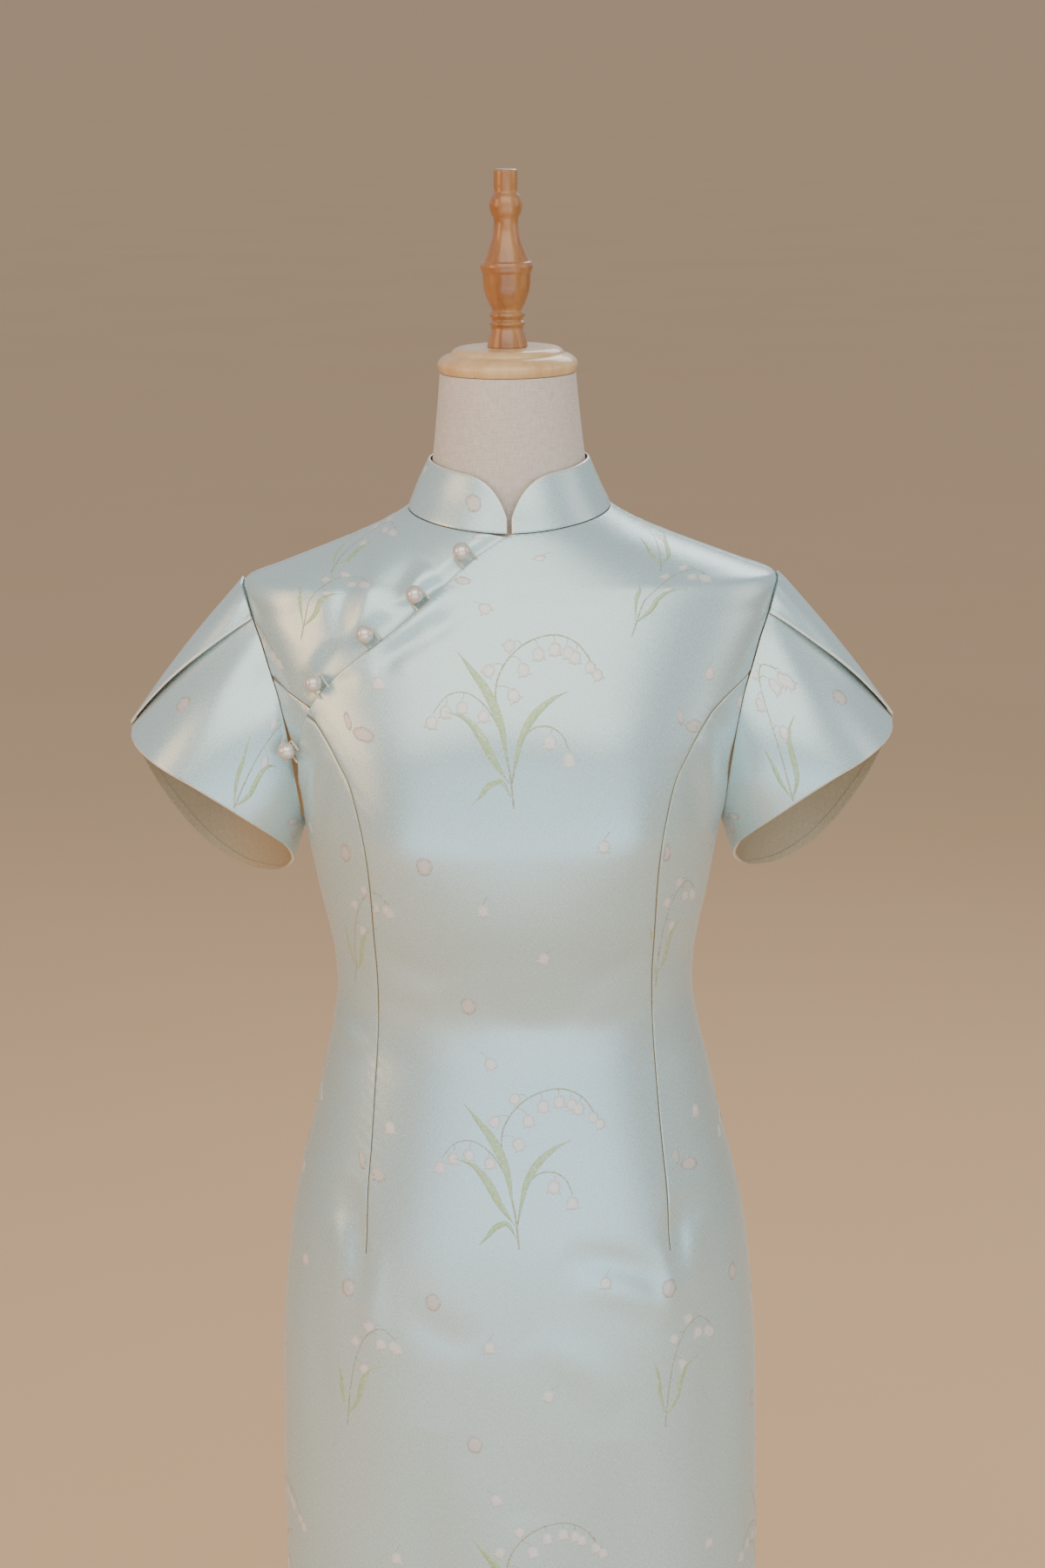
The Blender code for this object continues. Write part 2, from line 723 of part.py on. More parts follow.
def build_sleeve(name, sign, material):
    """Tulip sleeve cut in one piece: it runs round the underarm and its two ends cross at the shoulder."""
    rows = 6
    holes = loop_table(armhole_loop(), len(armhole_edge(1, 1)) + 1)
    mouths = wrap([(t, x * MM, y * MM, z * MM) for t, x, y, z in MOUTH])

    def point(turn, along):
        return sleeve_point(holes, mouths, turn, along)

    def outside(turn, along):
        around = point(turn + 0.004, along) - point(turn - 0.004, along)
        down = point(turn, min(along + 0.02, 1.0)) - point(turn, max(along - 0.02, 0.0))
        return around.cross(down).normalized()

    columns = sleeve_shares()
    outer, inner, faces = [], [], []
    for in_lap, between in columns:
        for j in range(rows + 1):
            along = j / rows
            lap = PETAL_TIP_LAP + (PETAL_LAP - PETAL_TIP_LAP) * (1 - along) ** 0.8
            past = lap * (2 * in_lap - 1)
            turn = past + (1 - 2 * lap) * between if between < 1 else 1 - past
            near_end = min(turn + lap, 1 + lap - turn)
            along -= TIP_SHORT * (1 - ease(0.0, TIP_ROUND, near_end)) * ease(0.5, 1.0, along)
            lift = ease(LIFT_START, LIFT_END, turn) * (PETAL_LIFT + PETAL_GAPE * math.sin(math.pi * along))
            up = outside(turn, along)
            for layer_points, height in ((outer, lift), (inner, lift - WALL)):
                spot = point(turn, along) + up * height
                layer_points.append(Vector((sign * spot.x, spot.y, spot.z)))
    for i in range(len(columns) - 1):
        for j in range(rows):
            k = i * (rows + 1) + j
            faces.append((k, k + rows + 1, k + rows + 2, k + 1))
    return shell(name, outer, inner, faces, material)


# ---- pearls and loops ----


def tube(name, path, radius, material, sides=6):
    """Closed round cord along a path."""
    points, faces = [], []
    before = None
    for i, p in enumerate(path):
        ahead = (path[min(i + 1, len(path) - 1)] - path[max(i - 1, 0)]).normalized()
        side = ahead.cross(Vector((0, 1, 0))) if before is None else before - before.project(ahead)
        side.normalize()
        before = side
        other = ahead.cross(side)
        for k in range(sides):
            turn = ROUND * k / sides
            points.append(p + side * (radius * math.cos(turn)) + other * (radius * math.sin(turn)))
    for i in range(len(path) - 1):
        for k in range(sides):
            a, b = i * sides + k, i * sides + (k + 1) % sides
            faces.append((a, b, b + sides, a + sides))
    faces.append(tuple(reversed(range(sides))))
    last = (len(path) - 1) * sides
    faces.append(tuple(last + k for k in range(sides)))
    return add_object(name, points, faces, material, 80)


def build_pearls(pearl_finish, cord_finish):
    for number, (height, out) in enumerate(PEARLS, 1):
        angle = -front_angle(min(out * MM, section(height)[0] * 0.985), height)
        foot, up = skin(angle, height), outward(angle, height)
        low = opening_point(max(height - 0.012, FLAP_MEETS_ARMHOLE))
        high = opening_point(min(height + 0.012, NECK_FRONT))
        run = skin(*low) - skin(*high)
        towards = up.cross(run).normalized()
        if towards.x < 0:
            towards = -towards
        side = up.cross(towards)
        ball = bmesh.new()
        bmesh.ops.create_uvsphere(ball, u_segments=12, v_segments=8, radius=PEARL_RADIUS)
        mesh = bpy.data.meshes.new(f"pearl_{number}")
        ball.to_mesh(mesh)
        ball.free()
        mesh.materials.append(pearl_finish)
        mesh.shade_smooth()
        pearl = bpy.data.objects.new(f"pearl_{number}", mesh)
        pearl.location = foot + up * (PEARL_RADIUS + PEARL_STAND)
        bpy.context.collection.objects.link(pearl)
        legs = LAST_PEARL_TO_EDGE if number == len(PEARLS) else PEARL_TO_EDGE
        path = [(legs, -LOOP_RADIUS), (legs / 2, -LOOP_RADIUS)]
        path += [
            (-LOOP_RADIUS * math.sin(math.pi * k / 8), -LOOP_RADIUS * math.cos(math.pi * k / 8)) for k in range(9)
        ]
        path += [(legs / 2, LOOP_RADIUS), (legs, LOOP_RADIUS)]
        tube(
            f"loop_{number}",
            [foot + towards * a + side * b + up * (LOOP_STAND + LOOP_CORD) for a, b in path],
            LOOP_CORD,
            cord_finish,
        )


# ---- dress form and stand ----


def lathe(name, profile, material, segments, smooth_below=35):
    """Closed solid turned about the pole's axis from (radius, height) pairs, top to bottom."""
    points, faces = [], []
    for radius, height in profile:
        for k in range(segments):
            turn = ROUND * k / segments
            points.append((radius * math.cos(turn), radius * math.sin(turn), height))
    for i in range(len(profile) - 1):
        for k in range(segments):
            a, b = i * segments + k, i * segments + (k + 1) % segments
            faces.append((a, a + segments, b + segments, b))
    faces.append(tuple(range(segments)))
    last = (len(profile) - 1) * segments
    faces.append(tuple(reversed([last + k for k in range(segments)])))
    return add_object(name, points, faces, material, smooth_below)


def form_ring(height, segments):
    """Ring of the form's torso: the skin, drawn in by its clearance, more so inside the armholes."""
    width, front, back, front_square, back_square = section(height)
    width -= FORM_INSET + ARMHOLE_INSET * ease(1.10, 1.16, height) * (1 - ease(1.270, 1.300, height))
    ring = []
    for k in range(segments):
        angle = ROUND * k / segments
        depth, square = (front, front_square) if math.cos(angle) >= 0 else (back, back_square)
        depth -= FORM_INSET
        radius = ((abs(math.sin(angle)) / width) ** square + (abs(math.cos(angle)) / depth) ** square) ** (-1 / square)
        ring.append(Vector((radius * math.sin(angle), -radius * math.cos(angle), height)))
    return ring


def build_form(material):
    """Covered torso with its neck, closed below at the thighs."""
    segments = 36
    rings = []
    for height, half, front, back in reversed(NECK):
        ring = []
        for k in range(segments):
            angle = ROUND * k / segments
            depth = front if math.cos(angle) >= 0 else back
            radius = math.hypot(math.sin(angle) / half, math.cos(angle) / depth) ** -1 * MM
            ring.append(Vector((radius * math.sin(angle), -radius * math.cos(angle), height)))
        rings.append(ring)
    heights = [1.336, 1.3285, 1.3215, 1.3135, 1.3055, 1.2975, 1.289, 1.272, 1.245, 1.215, 1.18, 1.145]
    heights += [1.11, 1.075, 1.04, 1.00, 0.96, 0.92, 0.88, 0.84, 0.79, 0.74]
    rings += [form_ring(h, segments) for h in heights]
    low = form_ring(FORM_BOTTOM, segments)
    for turn in (0.0, 0.5, 1.0):
        inset = FORM_EDGE * (1 - math.cos(turn * math.pi / 2))
        drop = FORM_EDGE * math.sin(turn * math.pi / 2)
        ring = []
        for p in low:
            flat = Vector((p.x, p.y, 0))
            ring.append(flat * (1 - inset / flat.length) + Vector((0, 0, FORM_BOTTOM + FORM_EDGE - drop)))
        rings.append(ring)
    points = [p for ring in rings for p in ring]
    faces = []
    for i in range(len(rings) - 1):
        for k in range(segments):
            a, b = i * segments + k, i * segments + (k + 1) % segments
            faces.append((a, a + segments, b + segments, b))
    faces.append(tuple(range(segments)))
    last = (len(rings) - 1) * segments
    faces.append(tuple(reversed([last + k for k in range(segments)])))
    return add_object("form_torso", points, faces, material)


def build_stand(cap_wood, finial_wood, steel):
    cap = [
        (30.0, CAP_TOP), (35.5, CAP_TOP - 0.0008), (38.5, CAP_TOP - 0.0030), (39.3, CAP_TOP - 0.0042),
        (44.0, CAP_TOP - 0.0062), (47.6, CAP_TOP - 0.0092), (48.5, CAP_TOP - 0.0122), (47.8, CAP_TOP - 0.0148),
        (46.4, CAP_BOTTOM),
    ]
    lathe("neck_cap", [(r * MM, h) for r, h in cap], cap_wood, 40)
    lathe("finial", [(r * MM, CAP_TOP + h * MM) for h, r in FINIAL], finial_wood, 24)
    top = FORM_BOTTOM - SEAM_GAP
    lathe("pole", [(POLE_RADIUS, top), (POLE_RADIUS, HUB_TOP + SEAM_GAP)], steel, 24)
    base = [
        (21 * MM, HUB_TOP), (24 * MM, HUB_TOP - 0.003), (24 * MM, 0.020), (30 * MM, 0.0155), (60 * MM, 0.0135),
        (BASE_RADIUS - 8 * MM, 0.0105), (BASE_RADIUS - 2 * MM, 0.0085), (BASE_RADIUS, 0.0055),
        (BASE_RADIUS, 0.0015), (BASE_RADIUS - 1.5 * MM, 0.0),
    ]
    lathe("base", base, steel, 64)


def main():
    clear_scene()
    satin = finish("satin", (0.66, 0.74, 0.75), 0.38)
    lining_cord = finish("loop cord", (0.86, 0.82, 0.72), 0.5)
    pearl = finish("pearl", (0.93, 0.90, 0.86), 0.15)
    linen = finish("linen", (0.80, 0.76, 0.73), 0.85)
    maple = finish("maple", (0.82, 0.62, 0.38), 0.35)
    cherry = finish("turned wood", (0.62, 0.36, 0.17), 0.28)
    steel = finish("steel", (0.60, 0.60, 0.61), 0.3, 1.0)
    build_front(satin)
    build_flap(satin)
    build_flap_side(satin)
    build_back(satin)
    build_collar(satin)
    build_sleeve("sleeve_left", 1, satin)
    build_sleeve("sleeve_right", -1, satin)
    build_pearls(pearl, lining_cord)
    build_form(linen)
    build_stand(maple, cherry, steel)


main()
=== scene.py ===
import math

import bmesh
import bpy
import numpy as np
from mathutils import Matrix, Vector
from mathutils.geometry import delaunay_2d_cdt
from mathutils.kdtree import KDTree


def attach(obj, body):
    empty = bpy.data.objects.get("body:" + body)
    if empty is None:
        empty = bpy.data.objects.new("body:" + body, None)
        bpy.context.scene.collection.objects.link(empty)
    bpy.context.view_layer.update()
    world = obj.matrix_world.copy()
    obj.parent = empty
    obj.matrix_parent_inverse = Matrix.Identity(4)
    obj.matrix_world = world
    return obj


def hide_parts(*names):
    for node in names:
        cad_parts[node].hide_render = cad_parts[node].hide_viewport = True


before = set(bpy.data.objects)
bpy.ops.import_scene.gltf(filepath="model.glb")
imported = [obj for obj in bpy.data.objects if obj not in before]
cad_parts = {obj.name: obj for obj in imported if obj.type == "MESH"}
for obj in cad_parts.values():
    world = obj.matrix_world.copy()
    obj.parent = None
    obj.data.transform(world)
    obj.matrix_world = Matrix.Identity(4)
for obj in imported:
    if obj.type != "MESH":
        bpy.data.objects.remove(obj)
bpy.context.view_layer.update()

mm = 0.001
quarterTurn, halfTurn, wholeTurn = math.pi / 2, math.pi, math.tau


class Wire:
    # a socket that sums can be written on
    def __init__(self, finish, socket):
        self.finish, self.socket = finish, socket

    def maths(self, operation, first, second):
        return self.finish.add("ShaderNodeMath", {"operation": operation}, {0: first, 1: second})

    def __add__(self, other):
        return self.maths("ADD", self, other)

    def __sub__(self, other):
        return self.maths("SUBTRACT", self, other)

    def __rsub__(self, other):
        return self.maths("SUBTRACT", other, self)

    def __mul__(self, other):
        return self.maths("MULTIPLY", self, other)

    __radd__ = __add__
    __rmul__ = __mul__


class Finish:
    # one material with its Principled shader
    def __init__(self, name):
        self.material = bpy.data.materials.new(name)
        self.material.use_nodes = True
        self.tree = self.material.node_tree
        self.shader = self.tree.nodes["Principled BSDF"]

    def add(self, kind, settings=None, sockets=None, output=0):
        node = self.tree.nodes.new(kind)
        for key, value in (settings or {}).items():
            setattr(node, key, value)
        for key, value in (sockets or {}).items():
            self.feed(node.inputs[key], value)
        return Wire(self, node.outputs[output])

    def feed(self, socket, value):
        if isinstance(value, Wire):
            self.tree.links.new(value.socket, socket)
        else:
            socket.default_value = value

    def shade(self, **values):
        for key, value in values.items():
            self.feed(self.shader.inputs[key.replace("_", " ")], value)
        return self.material

    def place(self):
        return self.add("ShaderNodeTexCoord", output=3)

    def noise(self, place, scale, detail=2.0, rough=0.5):
        sockets = {"Vector": place, "Scale": scale, "Detail": detail, "Roughness": rough}
        return self.add("ShaderNodeTexNoise", None, sockets)

    def threads(self, place, scale, detail=2.0):
        # noise drawn out along one way of the weave or the grain
        long = self.add("ShaderNodeMapping", None, {"Vector": place, "Scale": scale})
        return self.noise(long, 1.0, detail, 0.6)

    def value(self, name, output=2):
        return self.add("ShaderNodeAttribute", {"attribute_name": name}, None, output)

    def mix(self, share, first, second):
        return self.add("ShaderNodeMix", {"data_type": "RGBA"}, {0: share, 6: first, 7: second}, 2)

    def spread(self, value, low, high, start=0.0, end=1.0):
        sockets = {"Value": value, "From Min": low, "From Max": high, "To Min": start, "To Max": end}
        return self.add("ShaderNodeMapRange", {"clamp": True}, sockets)

    def bump(self, height, strength, distance):
        return self.add("ShaderNodeBump", None, {"Height": height, "Strength": strength, "Distance": distance})


def rgb(red, green, blue):
    return (red, green, blue, 1.0)


# the body that the cloth is cut to
body = {
    # height in metres; half width, front and back in millimetres; squareness of the front and back
    "sections": [
        (1.350, 62.0, 49.0, 53.0, 2.00, 2.00),
        (1.346, 65.5, 52.0, 57.0, 2.00, 2.00),
        (1.341, 70.0, 56.0, 62.0, 2.00, 2.00),
        (1.331, 86.5, 63.5, 71.0, 2.00, 2.00),
        (1.3245, 100.0, 67.5, 76.0, 2.00, 2.00),
        (1.316, 121.0, 72.0, 81.0, 2.00, 2.00),
        (1.308, 142.0, 76.0, 85.0, 2.02, 2.02),
        (1.300, 163.0, 80.0, 88.5, 2.04, 2.05),
        (1.2915, 184.0, 84.0, 91.5, 2.06, 2.10),
        (1.270, 184.5, 94.0, 97.0, 2.10, 2.20),
        (1.250, 180.5, 103.0, 101.0, 2.15, 2.25),
        (1.220, 172.0, 115.0, 104.5, 2.25, 2.30),
        (1.200, 166.5, 121.5, 106.0, 2.35, 2.30),
        (1.180, 161.0, 125.5, 106.5, 2.42, 2.30),
        (1.140, 151.5, 128.5, 105.0, 2.50, 2.30),
        (1.116, 145.0, 128.0, 102.5, 2.50, 2.30),
        (1.070, 136.0, 120.5, 96.0, 2.40, 2.25),
        (1.033, 128.5, 110.0, 87.5, 2.30, 2.20),
        (1.000, 126.0, 101.5, 81.0, 2.25, 2.20),
        (0.973, 129.5, 100.0, 81.0, 2.25, 2.20),
        (0.9445, 136.0, 102.5, 85.5, 2.25, 2.20),
        (0.893, 147.5, 108.5, 98.0, 2.22, 2.25),
        (0.868, 154.0, 111.0, 105.0, 2.20, 2.28),
        (0.827, 162.5, 113.5, 114.0, 2.20, 2.30),
        (0.765, 169.0, 114.0, 119.0, 2.20, 2.30),
        (0.711, 171.5, 113.0, 117.0, 2.20, 2.28),
        (0.627, 172.5, 111.0, 112.5, 2.20, 2.25),
        (0.548, 172.5, 109.0, 109.0, 2.18, 2.20),
        (0.400, 168.5, 104.5, 104.5, 2.14, 2.14),
        (0.220, 162.0, 99.0, 99.0, 2.10, 2.10),
    ],
    "bustHeight": 1.130, "bustRise": 6 * mm, "bustAngle": math.radians(34),
    "bustSpread": math.radians(17), "bustReach": 0.060,
}
cloth = {
    "wall": 1.6 * mm, "seamGap": 0.3 * mm, "flapSink": 3.0 * mm, "flapLap": 12 * mm,
    "hem": 0.230, "slitTop": 0.500, "slitSpread": 2.5 * mm, "dartEnd": 0.826, "armpit": 1.118,
    "princessTop": 1.229, "flapMeetsArmhole": 1.157, "crossing": 1.2094, "shoulderTip": 1.2915,
    "neckSide": 1.341, "neckFront": 1.330, "neckBack": 1.346,
    "chartRadius": 0.130, "shoulderFold": 1.285, "shoulderStretch": 1.6,
    "edgeRound": 1.5 * mm, "edgeDrop": 0.75 * mm, "pucker": 0.22 * mm, "puckerPitch": 11 * mm,
    "puckerAway": 5 * mm, "puckerReach": 3.5 * mm, "sinkNear": 3 * mm, "sinkFar": 22 * mm, "dartOpen": 1.2 * mm,
}
# how finely the panels are cut: points along an edge, rows beside it, and the spacing inside each panel
net = {
    "edge": 2.6 * mm, "rows": (0.35 * mm, 0.9 * mm, 1.7 * mm), "sameSpot": 0.02 * mm,
    "front": 4.0 * mm, "back": 4.6 * mm, "flap": 3.2 * mm, "flapSide": 2.6 * mm,
}
armhole = [  # height, front out, back out
    (1.284, 183.0, 182.0), (1.268, 178.3, 176.5), (1.253, 172.5, 171.0), (1.2325, 166.0, 164.5),
    (1.217, 160.8, 160.0), (1.198, 156.3, 156.5), (1.183, 153.6, 153.6), (1.162, 150.6, 150.2),
    (1.1445, 148.3, 147.8), (1.130, 146.8, 146.6),
]
princess = [  # height, out
    (1.229, 164.8), (1.2125, 140.5), (1.195, 126.5), (1.180, 118.0), (1.1655, 110.5), (1.135, 103.0),
    (1.105, 99.0), (1.055, 96.5), (1.019, 95.0), (0.979, 96.0), (0.936, 99.0), (0.904, 101.5),
    (0.873, 104.5), (0.826, 107.5),
]
opening = [  # height, out
    (1.3300, 0.0), (1.3143, 25.0), (1.2810, 64.0), (1.2590, 92.0), (1.2495, 105.0), (1.2276, 129.5),
    (1.2094, 140.0), (1.1925, 145.3), (1.1787, 147.8), (1.1570, 149.6),
]
flapSeam = {"top": 1.2285, "rows": [(1.2225, 153.5), (1.2165, 145.0)]}
flapSideUnder = {"low": 1.150, "rows": [(1.158, 141.0), (1.180, 138.5), (1.198, 134.5), (1.2085, 131.0)]}


def smoothAt(rows, column, at):
    rows = sorted(rows)
    keys = np.array([row[0] for row in rows])
    values = np.array([row[column] for row in rows], float)
    slopes = np.empty_like(values)
    slopes[1:-1] = (values[2:] - values[:-2]) / (keys[2:] - keys[:-2])
    slopes[0] = (values[1] - values[0]) / (keys[1] - keys[0])
    slopes[-1] = (values[-1] - values[-2]) / (keys[-1] - keys[-2])
    at = np.clip(at, keys[0], keys[-1])
    i = np.clip(np.searchsorted(keys, at, side="right") - 1, 0, len(keys) - 2)
    span = keys[i + 1] - keys[i]
    t = (at - keys[i]) / span
    rise = values[i] * (1 + 2 * t) * (1 - t) ** 2 + slopes[i] * span * t * (1 - t) ** 2
    return rise + values[i + 1] * t * t * (3 - 2 * t) + slopes[i + 1] * span * t * t * (t - 1)


def ease(low, high, x):
    t = np.clip((x - low) / (high - low), 0.0, 1.0)
    return t * t * (3 - 2 * t)


def unit(v):
    return v / np.maximum(np.linalg.norm(v, axis=-1, keepdims=True), 1e-12)


def oval(angle, width, front, back, squareFront, squareBack):
    # radius of a level section, squarer than an ellipse and deeper on one side than on the other
    ahead = np.cos(angle) >= 0
    depth, square = np.where(ahead, front, back), np.where(ahead, squareFront, squareBack)
    sideways, forwards = np.abs(np.sin(angle)) / width, np.abs(np.cos(angle)) / depth
    return (sideways ** square + forwards ** square) ** (-1 / square)


def roundPoint(radius, angle, height):
    return np.stack([radius * np.sin(angle), -radius * np.cos(angle), height + 0 * radius], axis=-1)


def reach(angle, height):
    sizes = [smoothAt(body["sections"], k, height) for k in range(1, 6)]
    radius = oval(angle, *(size * mm for size in sizes[:3]), *sizes[3:])
    facing = np.abs((angle + halfTurn) % wholeTurn - halfTurn)
    offBust = (facing - body["bustAngle"]) / body["bustSpread"]
    offHeight = (height - body["bustHeight"]) / body["bustReach"]
    return radius + body["bustRise"] * np.exp(-offBust ** 2 - offHeight ** 2)


def skin(angle, height):
    return roundPoint(reach(angle, height), angle, height)


def outward(angle, height, step=0.002):
    around = skin(angle + step, height) - skin(angle - step, height)
    along = skin(angle, height + step) - skin(angle, height - step)
    return unit(np.cross(around, along))


def sideAngle(out, height, start, sense):
    # the angle at which the skin lies that far out, in the quarter turn after start
    out, height = np.broadcast_arrays(np.asarray(out, float), np.asarray(height, float))
    low, high = np.full_like(out, start), np.full_like(out, start + quarterTurn)
    for _ in range(40):
        middle = (low + high) / 2
        before = sense * (reach(middle, height) * np.sin(middle) - np.abs(out)) < 0
        low, high = np.where(before, middle, low), np.where(before, high, middle)
    return np.copysign(low, out)


def frontAngle(out, height):
    return sideAngle(out, height, 0.0, 1)


def backAngle(out, height):
    return sideAngle(out, height, quarterTurn, -1)


creaseDepth = 1.5
# folds: side, from x and height, to x and height, then bow, width and depth
# all in millimetres, and a ridge is positive
creases = [
    # flap: drag lines from the collar down to the armhole
    ("front", -92, 1326, -118, 1262, 5, 8, -1.6), ("front", -78, 1327, -104, 1258, 4, 7, 1.3),
    ("front", -62, 1318, -84, 1282, 2, 8, -1.5), ("front", -46, 1302, -66, 1285, 2, 4.5, -1.3),
    ("front", -112, 1262, -134, 1236, 2, 6, -1.1), ("front", -54, 1310, -72, 1290, 1, 4, 0.9),
    ("front", -120, 1300, -150, 1262, 4, 10, -0.9),
    # beside the opening, on the front: its edge rolls softly
    ("front", -36, 1298, -86, 1256, 1, 4.5, 1.3), ("front", -28, 1287, -74, 1246, 1, 6, -1.2),
    ("front", -58, 1266, -92, 1240, 3, 7, -1.3), ("front", -44, 1268, -76, 1243, 2, 6, 0.8),
    ("front", -104, 1238, -136, 1222, 2, 6, -1.0), ("front", -30, 1290, -60, 1270, 2, 8, 0.6),
    # under the arms
    ("front", -139, 1192, -145, 1116, 4, 5, -1.3), ("front", -129, 1186, -136, 1116, 4, 5, 1.1),
    ("front", 138, 1212, 147, 1150, -5, 5, -1.4), ("front", 128, 1196, 137, 1128, -4, 6, 1.2),
    ("front", 118, 1178, 126, 1120, -3, 6, -0.9), ("front", -120, 1160, -128, 1100, 3, 7, 0.7),
    # waist
    ("front", -92, 1046, -40, 1030, 4, 9, -0.8), ("front", -94, 1018, -50, 1010, -3, 9, 0.6),
    ("front", 90, 1044, 42, 1026, -4, 9, -0.7), ("front", 92, 1006, 40, 1000, 3, 10, 0.5),
    ("front", -126, 1040, -100, 1022, 2, 7, -0.9), ("front", 126, 1036, 100, 1018, -2, 7, -0.8),
    ("front", -20, 1000, 44, 992, 5, 12, -0.5), ("front", -128, 985, -102, 968, 3, 8, 0.7),
    # dart ends and the hips
    ("front", -117, 876, -112, 792, -3, 8, -1.9), ("front", -100, 838, -103, 748, 2, 9, 1.3),
    ("front", -128, 852, -124, 780, -2, 8, 1.0), ("front", 118, 868, 114, 806, 3, 8, -1.8),
    ("front", 104, 838, 108, 770, -2, 9, 1.1), ("front", 130, 850, 124, 790, 3, 7, 0.8),
    ("front", 30, 832, 104, 800, -6, 13, -1.2), ("front", 42, 812, 112, 782, -5, 12, 0.8),
    ("front", -84, 800, -30, 764, 6, 14, -0.7), ("front", -150, 810, -140, 660, -4, 11, -1.0),
    ("front", 148, 800, 138, 640, 4, 12, -0.9), ("front", 6, 770, 70, 716, -8, 16, 0.6),
    ("front", -64, 700, -52, 420, 6, 22, -1.6), ("front", 66, 690, 54, 380, -6, 24, -1.5),
    ("front", 4, 640, -4, 330, 4, 22, 1.2), ("front", -118, 640, -112, 330, 4, 17, 1.5),
    ("front", 120, 650, 114, 320, -4, 18, 1.4), ("front", -92, 470, -88, 240, 2, 14, -1.2),
    ("front", 34, 430, 30, 236, -2, 14, -1.0),
    # back: between the shoulders, at the small of the back and down the skirt
    ("back", -96, 1300, -60, 1240, 5, 12, -0.8), ("back", 98, 1298, 64, 1238, -5, 12, -0.8),
    ("back", -130, 1230, -112, 1150, 4, 9, 1.0), ("back", 132, 1228, 114, 1152, -4, 9, 1.0),
    ("back", -118, 1222, -98, 1140, 4, 9, -1.0), ("back", 120, 1220, 100, 1146, -4, 9, -0.9),
    ("back", -90, 1012, -20, 1000, 5, 9, -1.4), ("back", 88, 1006, 24, 994, -5, 9, -1.3),
    ("back", -70, 990, 4, 980, 4, 8, 1.0), ("back", 78, 984, 10, 972, -4, 8, 0.9),
    ("back", -96, 968, -40, 950, 3, 9, -0.9), ("back", 96, 962, 46, 946, -3, 10, -0.8),
    ("back", -60, 840, -50, 520, 6, 22, -1.5), ("back", 62, 820, 50, 480, -6, 24, -1.4),
    ("back", 2, 700, -2, 360, 4, 22, 1.2), ("back", -116, 660, -110, 320, 4, 18, 1.4),
    ("back", 118, 640, 112, 330, -4, 18, 1.3), ("back", -30, 480, -34, 240, 3, 15, -1.1),
    ("back", 88, 440, 84, 238, -2, 15, -1.1),
]


def crease(x, z, x1, z1, x2, z2, bow, width, depth):
    runX, runZ = x2 - x1, z2 - z1
    length = math.hypot(runX, runZ)
    along = ((x - x1) * runX + (z - z1) * runZ) / length ** 2
    off = ((x - x1) * runZ - (z - z1) * runX) / length - 4 * bow * along * (1 - along)
    taper = np.sin(np.clip(along, 0, 1) * halfTurn) ** 0.8
    return depth * np.exp(-(off / width) ** 2) * taper


def foldRise(angle, height):
    at = skin(angle, height) / mm
    x, z, behind = at[..., 0], at[..., 2], at[..., 1] > 0
    rise = np.zeros_like(x)
    for side, *shape in creases:
        rise += np.where(behind == (side == "back"), crease(x, z, *shape), 0.0) * creaseDepth
    loose = 1 - ease(0.30, 0.72, height)  # the skirt hangs freer towards its hem
    rise += loose * (1.7 * np.cos(6 * angle + 0.7) + 0.9 * np.cos(9 * angle - 1.1 + 2 * height))
    rise += 0.22 * np.sin(5 * angle + 31 * height) * np.sin(23 * height + 1.3)
    calm = 1 - ease(1.315, 1.330, height)
    return rise * mm * calm


def toChart(angle, height):
    # the flat chart of the skin, on which the panels are cut out
    over = np.maximum(height - cloth["shoulderFold"], 0.0)
    return np.stack([angle * cloth["chartRadius"], height + over * cloth["shoulderStretch"]], axis=-1)


def fromChart(spots):
    over = np.maximum(spots[..., 1] - cloth["shoulderFold"], 0.0)
    height = np.minimum(spots[..., 1], cloth["shoulderFold"]) + over / (1 + cloth["shoulderStretch"])
    return spots[..., 0] / cloth["chartRadius"], height


def lengthOf(line):
    return np.linalg.norm(np.diff(line, axis=0), axis=1)


def runsAlong(line):
    # distance of each point from the line's start
    return np.concatenate([[0.0], np.cumsum(lengthOf(line))])


def respace(line, step):
    runs = runsAlong(line)
    count = max(int(round(runs[-1] / step)), 1)
    at = np.linspace(0, runs[-1], count + 1)
    return np.stack([np.interp(at, runs, line[:, k]) for k in range(line.shape[1])], axis=-1)


def nearest(spots, line, closed=False):
    # distance of each spot to a line: its closest corner is looked up, then the stretches either side of it
    tree = KDTree(len(line))
    for k, corner in enumerate(line):
        tree.insert((corner[0], corner[1], 0.0), k)
    tree.balance()
    at = np.array([tree.find((x, y, 0.0))[1] for x, y in spots.tolist()], int)
    best = np.full(len(spots), 1e9)
    for first in (at - 1, at):
        if not closed:
            first = np.clip(first, 0, len(line) - 2)
        start = line[first % len(line)]
        run = line[(first + 1) % len(line)] - start
        share = np.clip(((spots - start) * run).sum(axis=1) / np.maximum((run ** 2).sum(axis=1), 1e-18), 0, 1)
        best = np.minimum(best, np.linalg.norm(spots - start - share[:, None] * run, axis=1))
    return best


def within(spots, loop):
    ends = np.roll(loop, -1, axis=0)
    slope = (ends[:, 0] - loop[:, 0]) / np.where(ends[:, 1] == loop[:, 1], 1e-12, ends[:, 1] - loop[:, 1])
    hit = np.zeros(len(spots), bool)
    for k in range(0, len(spots), 4000):
        x, y = spots[k:k + 4000, 0:1], spots[k:k + 4000, 1:2]
        spans = (loop[:, 1] > y) != (ends[:, 1] > y)
        hit[k:k + 4000] = (spans & (x < loop[:, 0] + slope * (y - loop[:, 1]))).sum(axis=1) % 2 == 1
    return hit


# edges of the panels, as lines on the chart

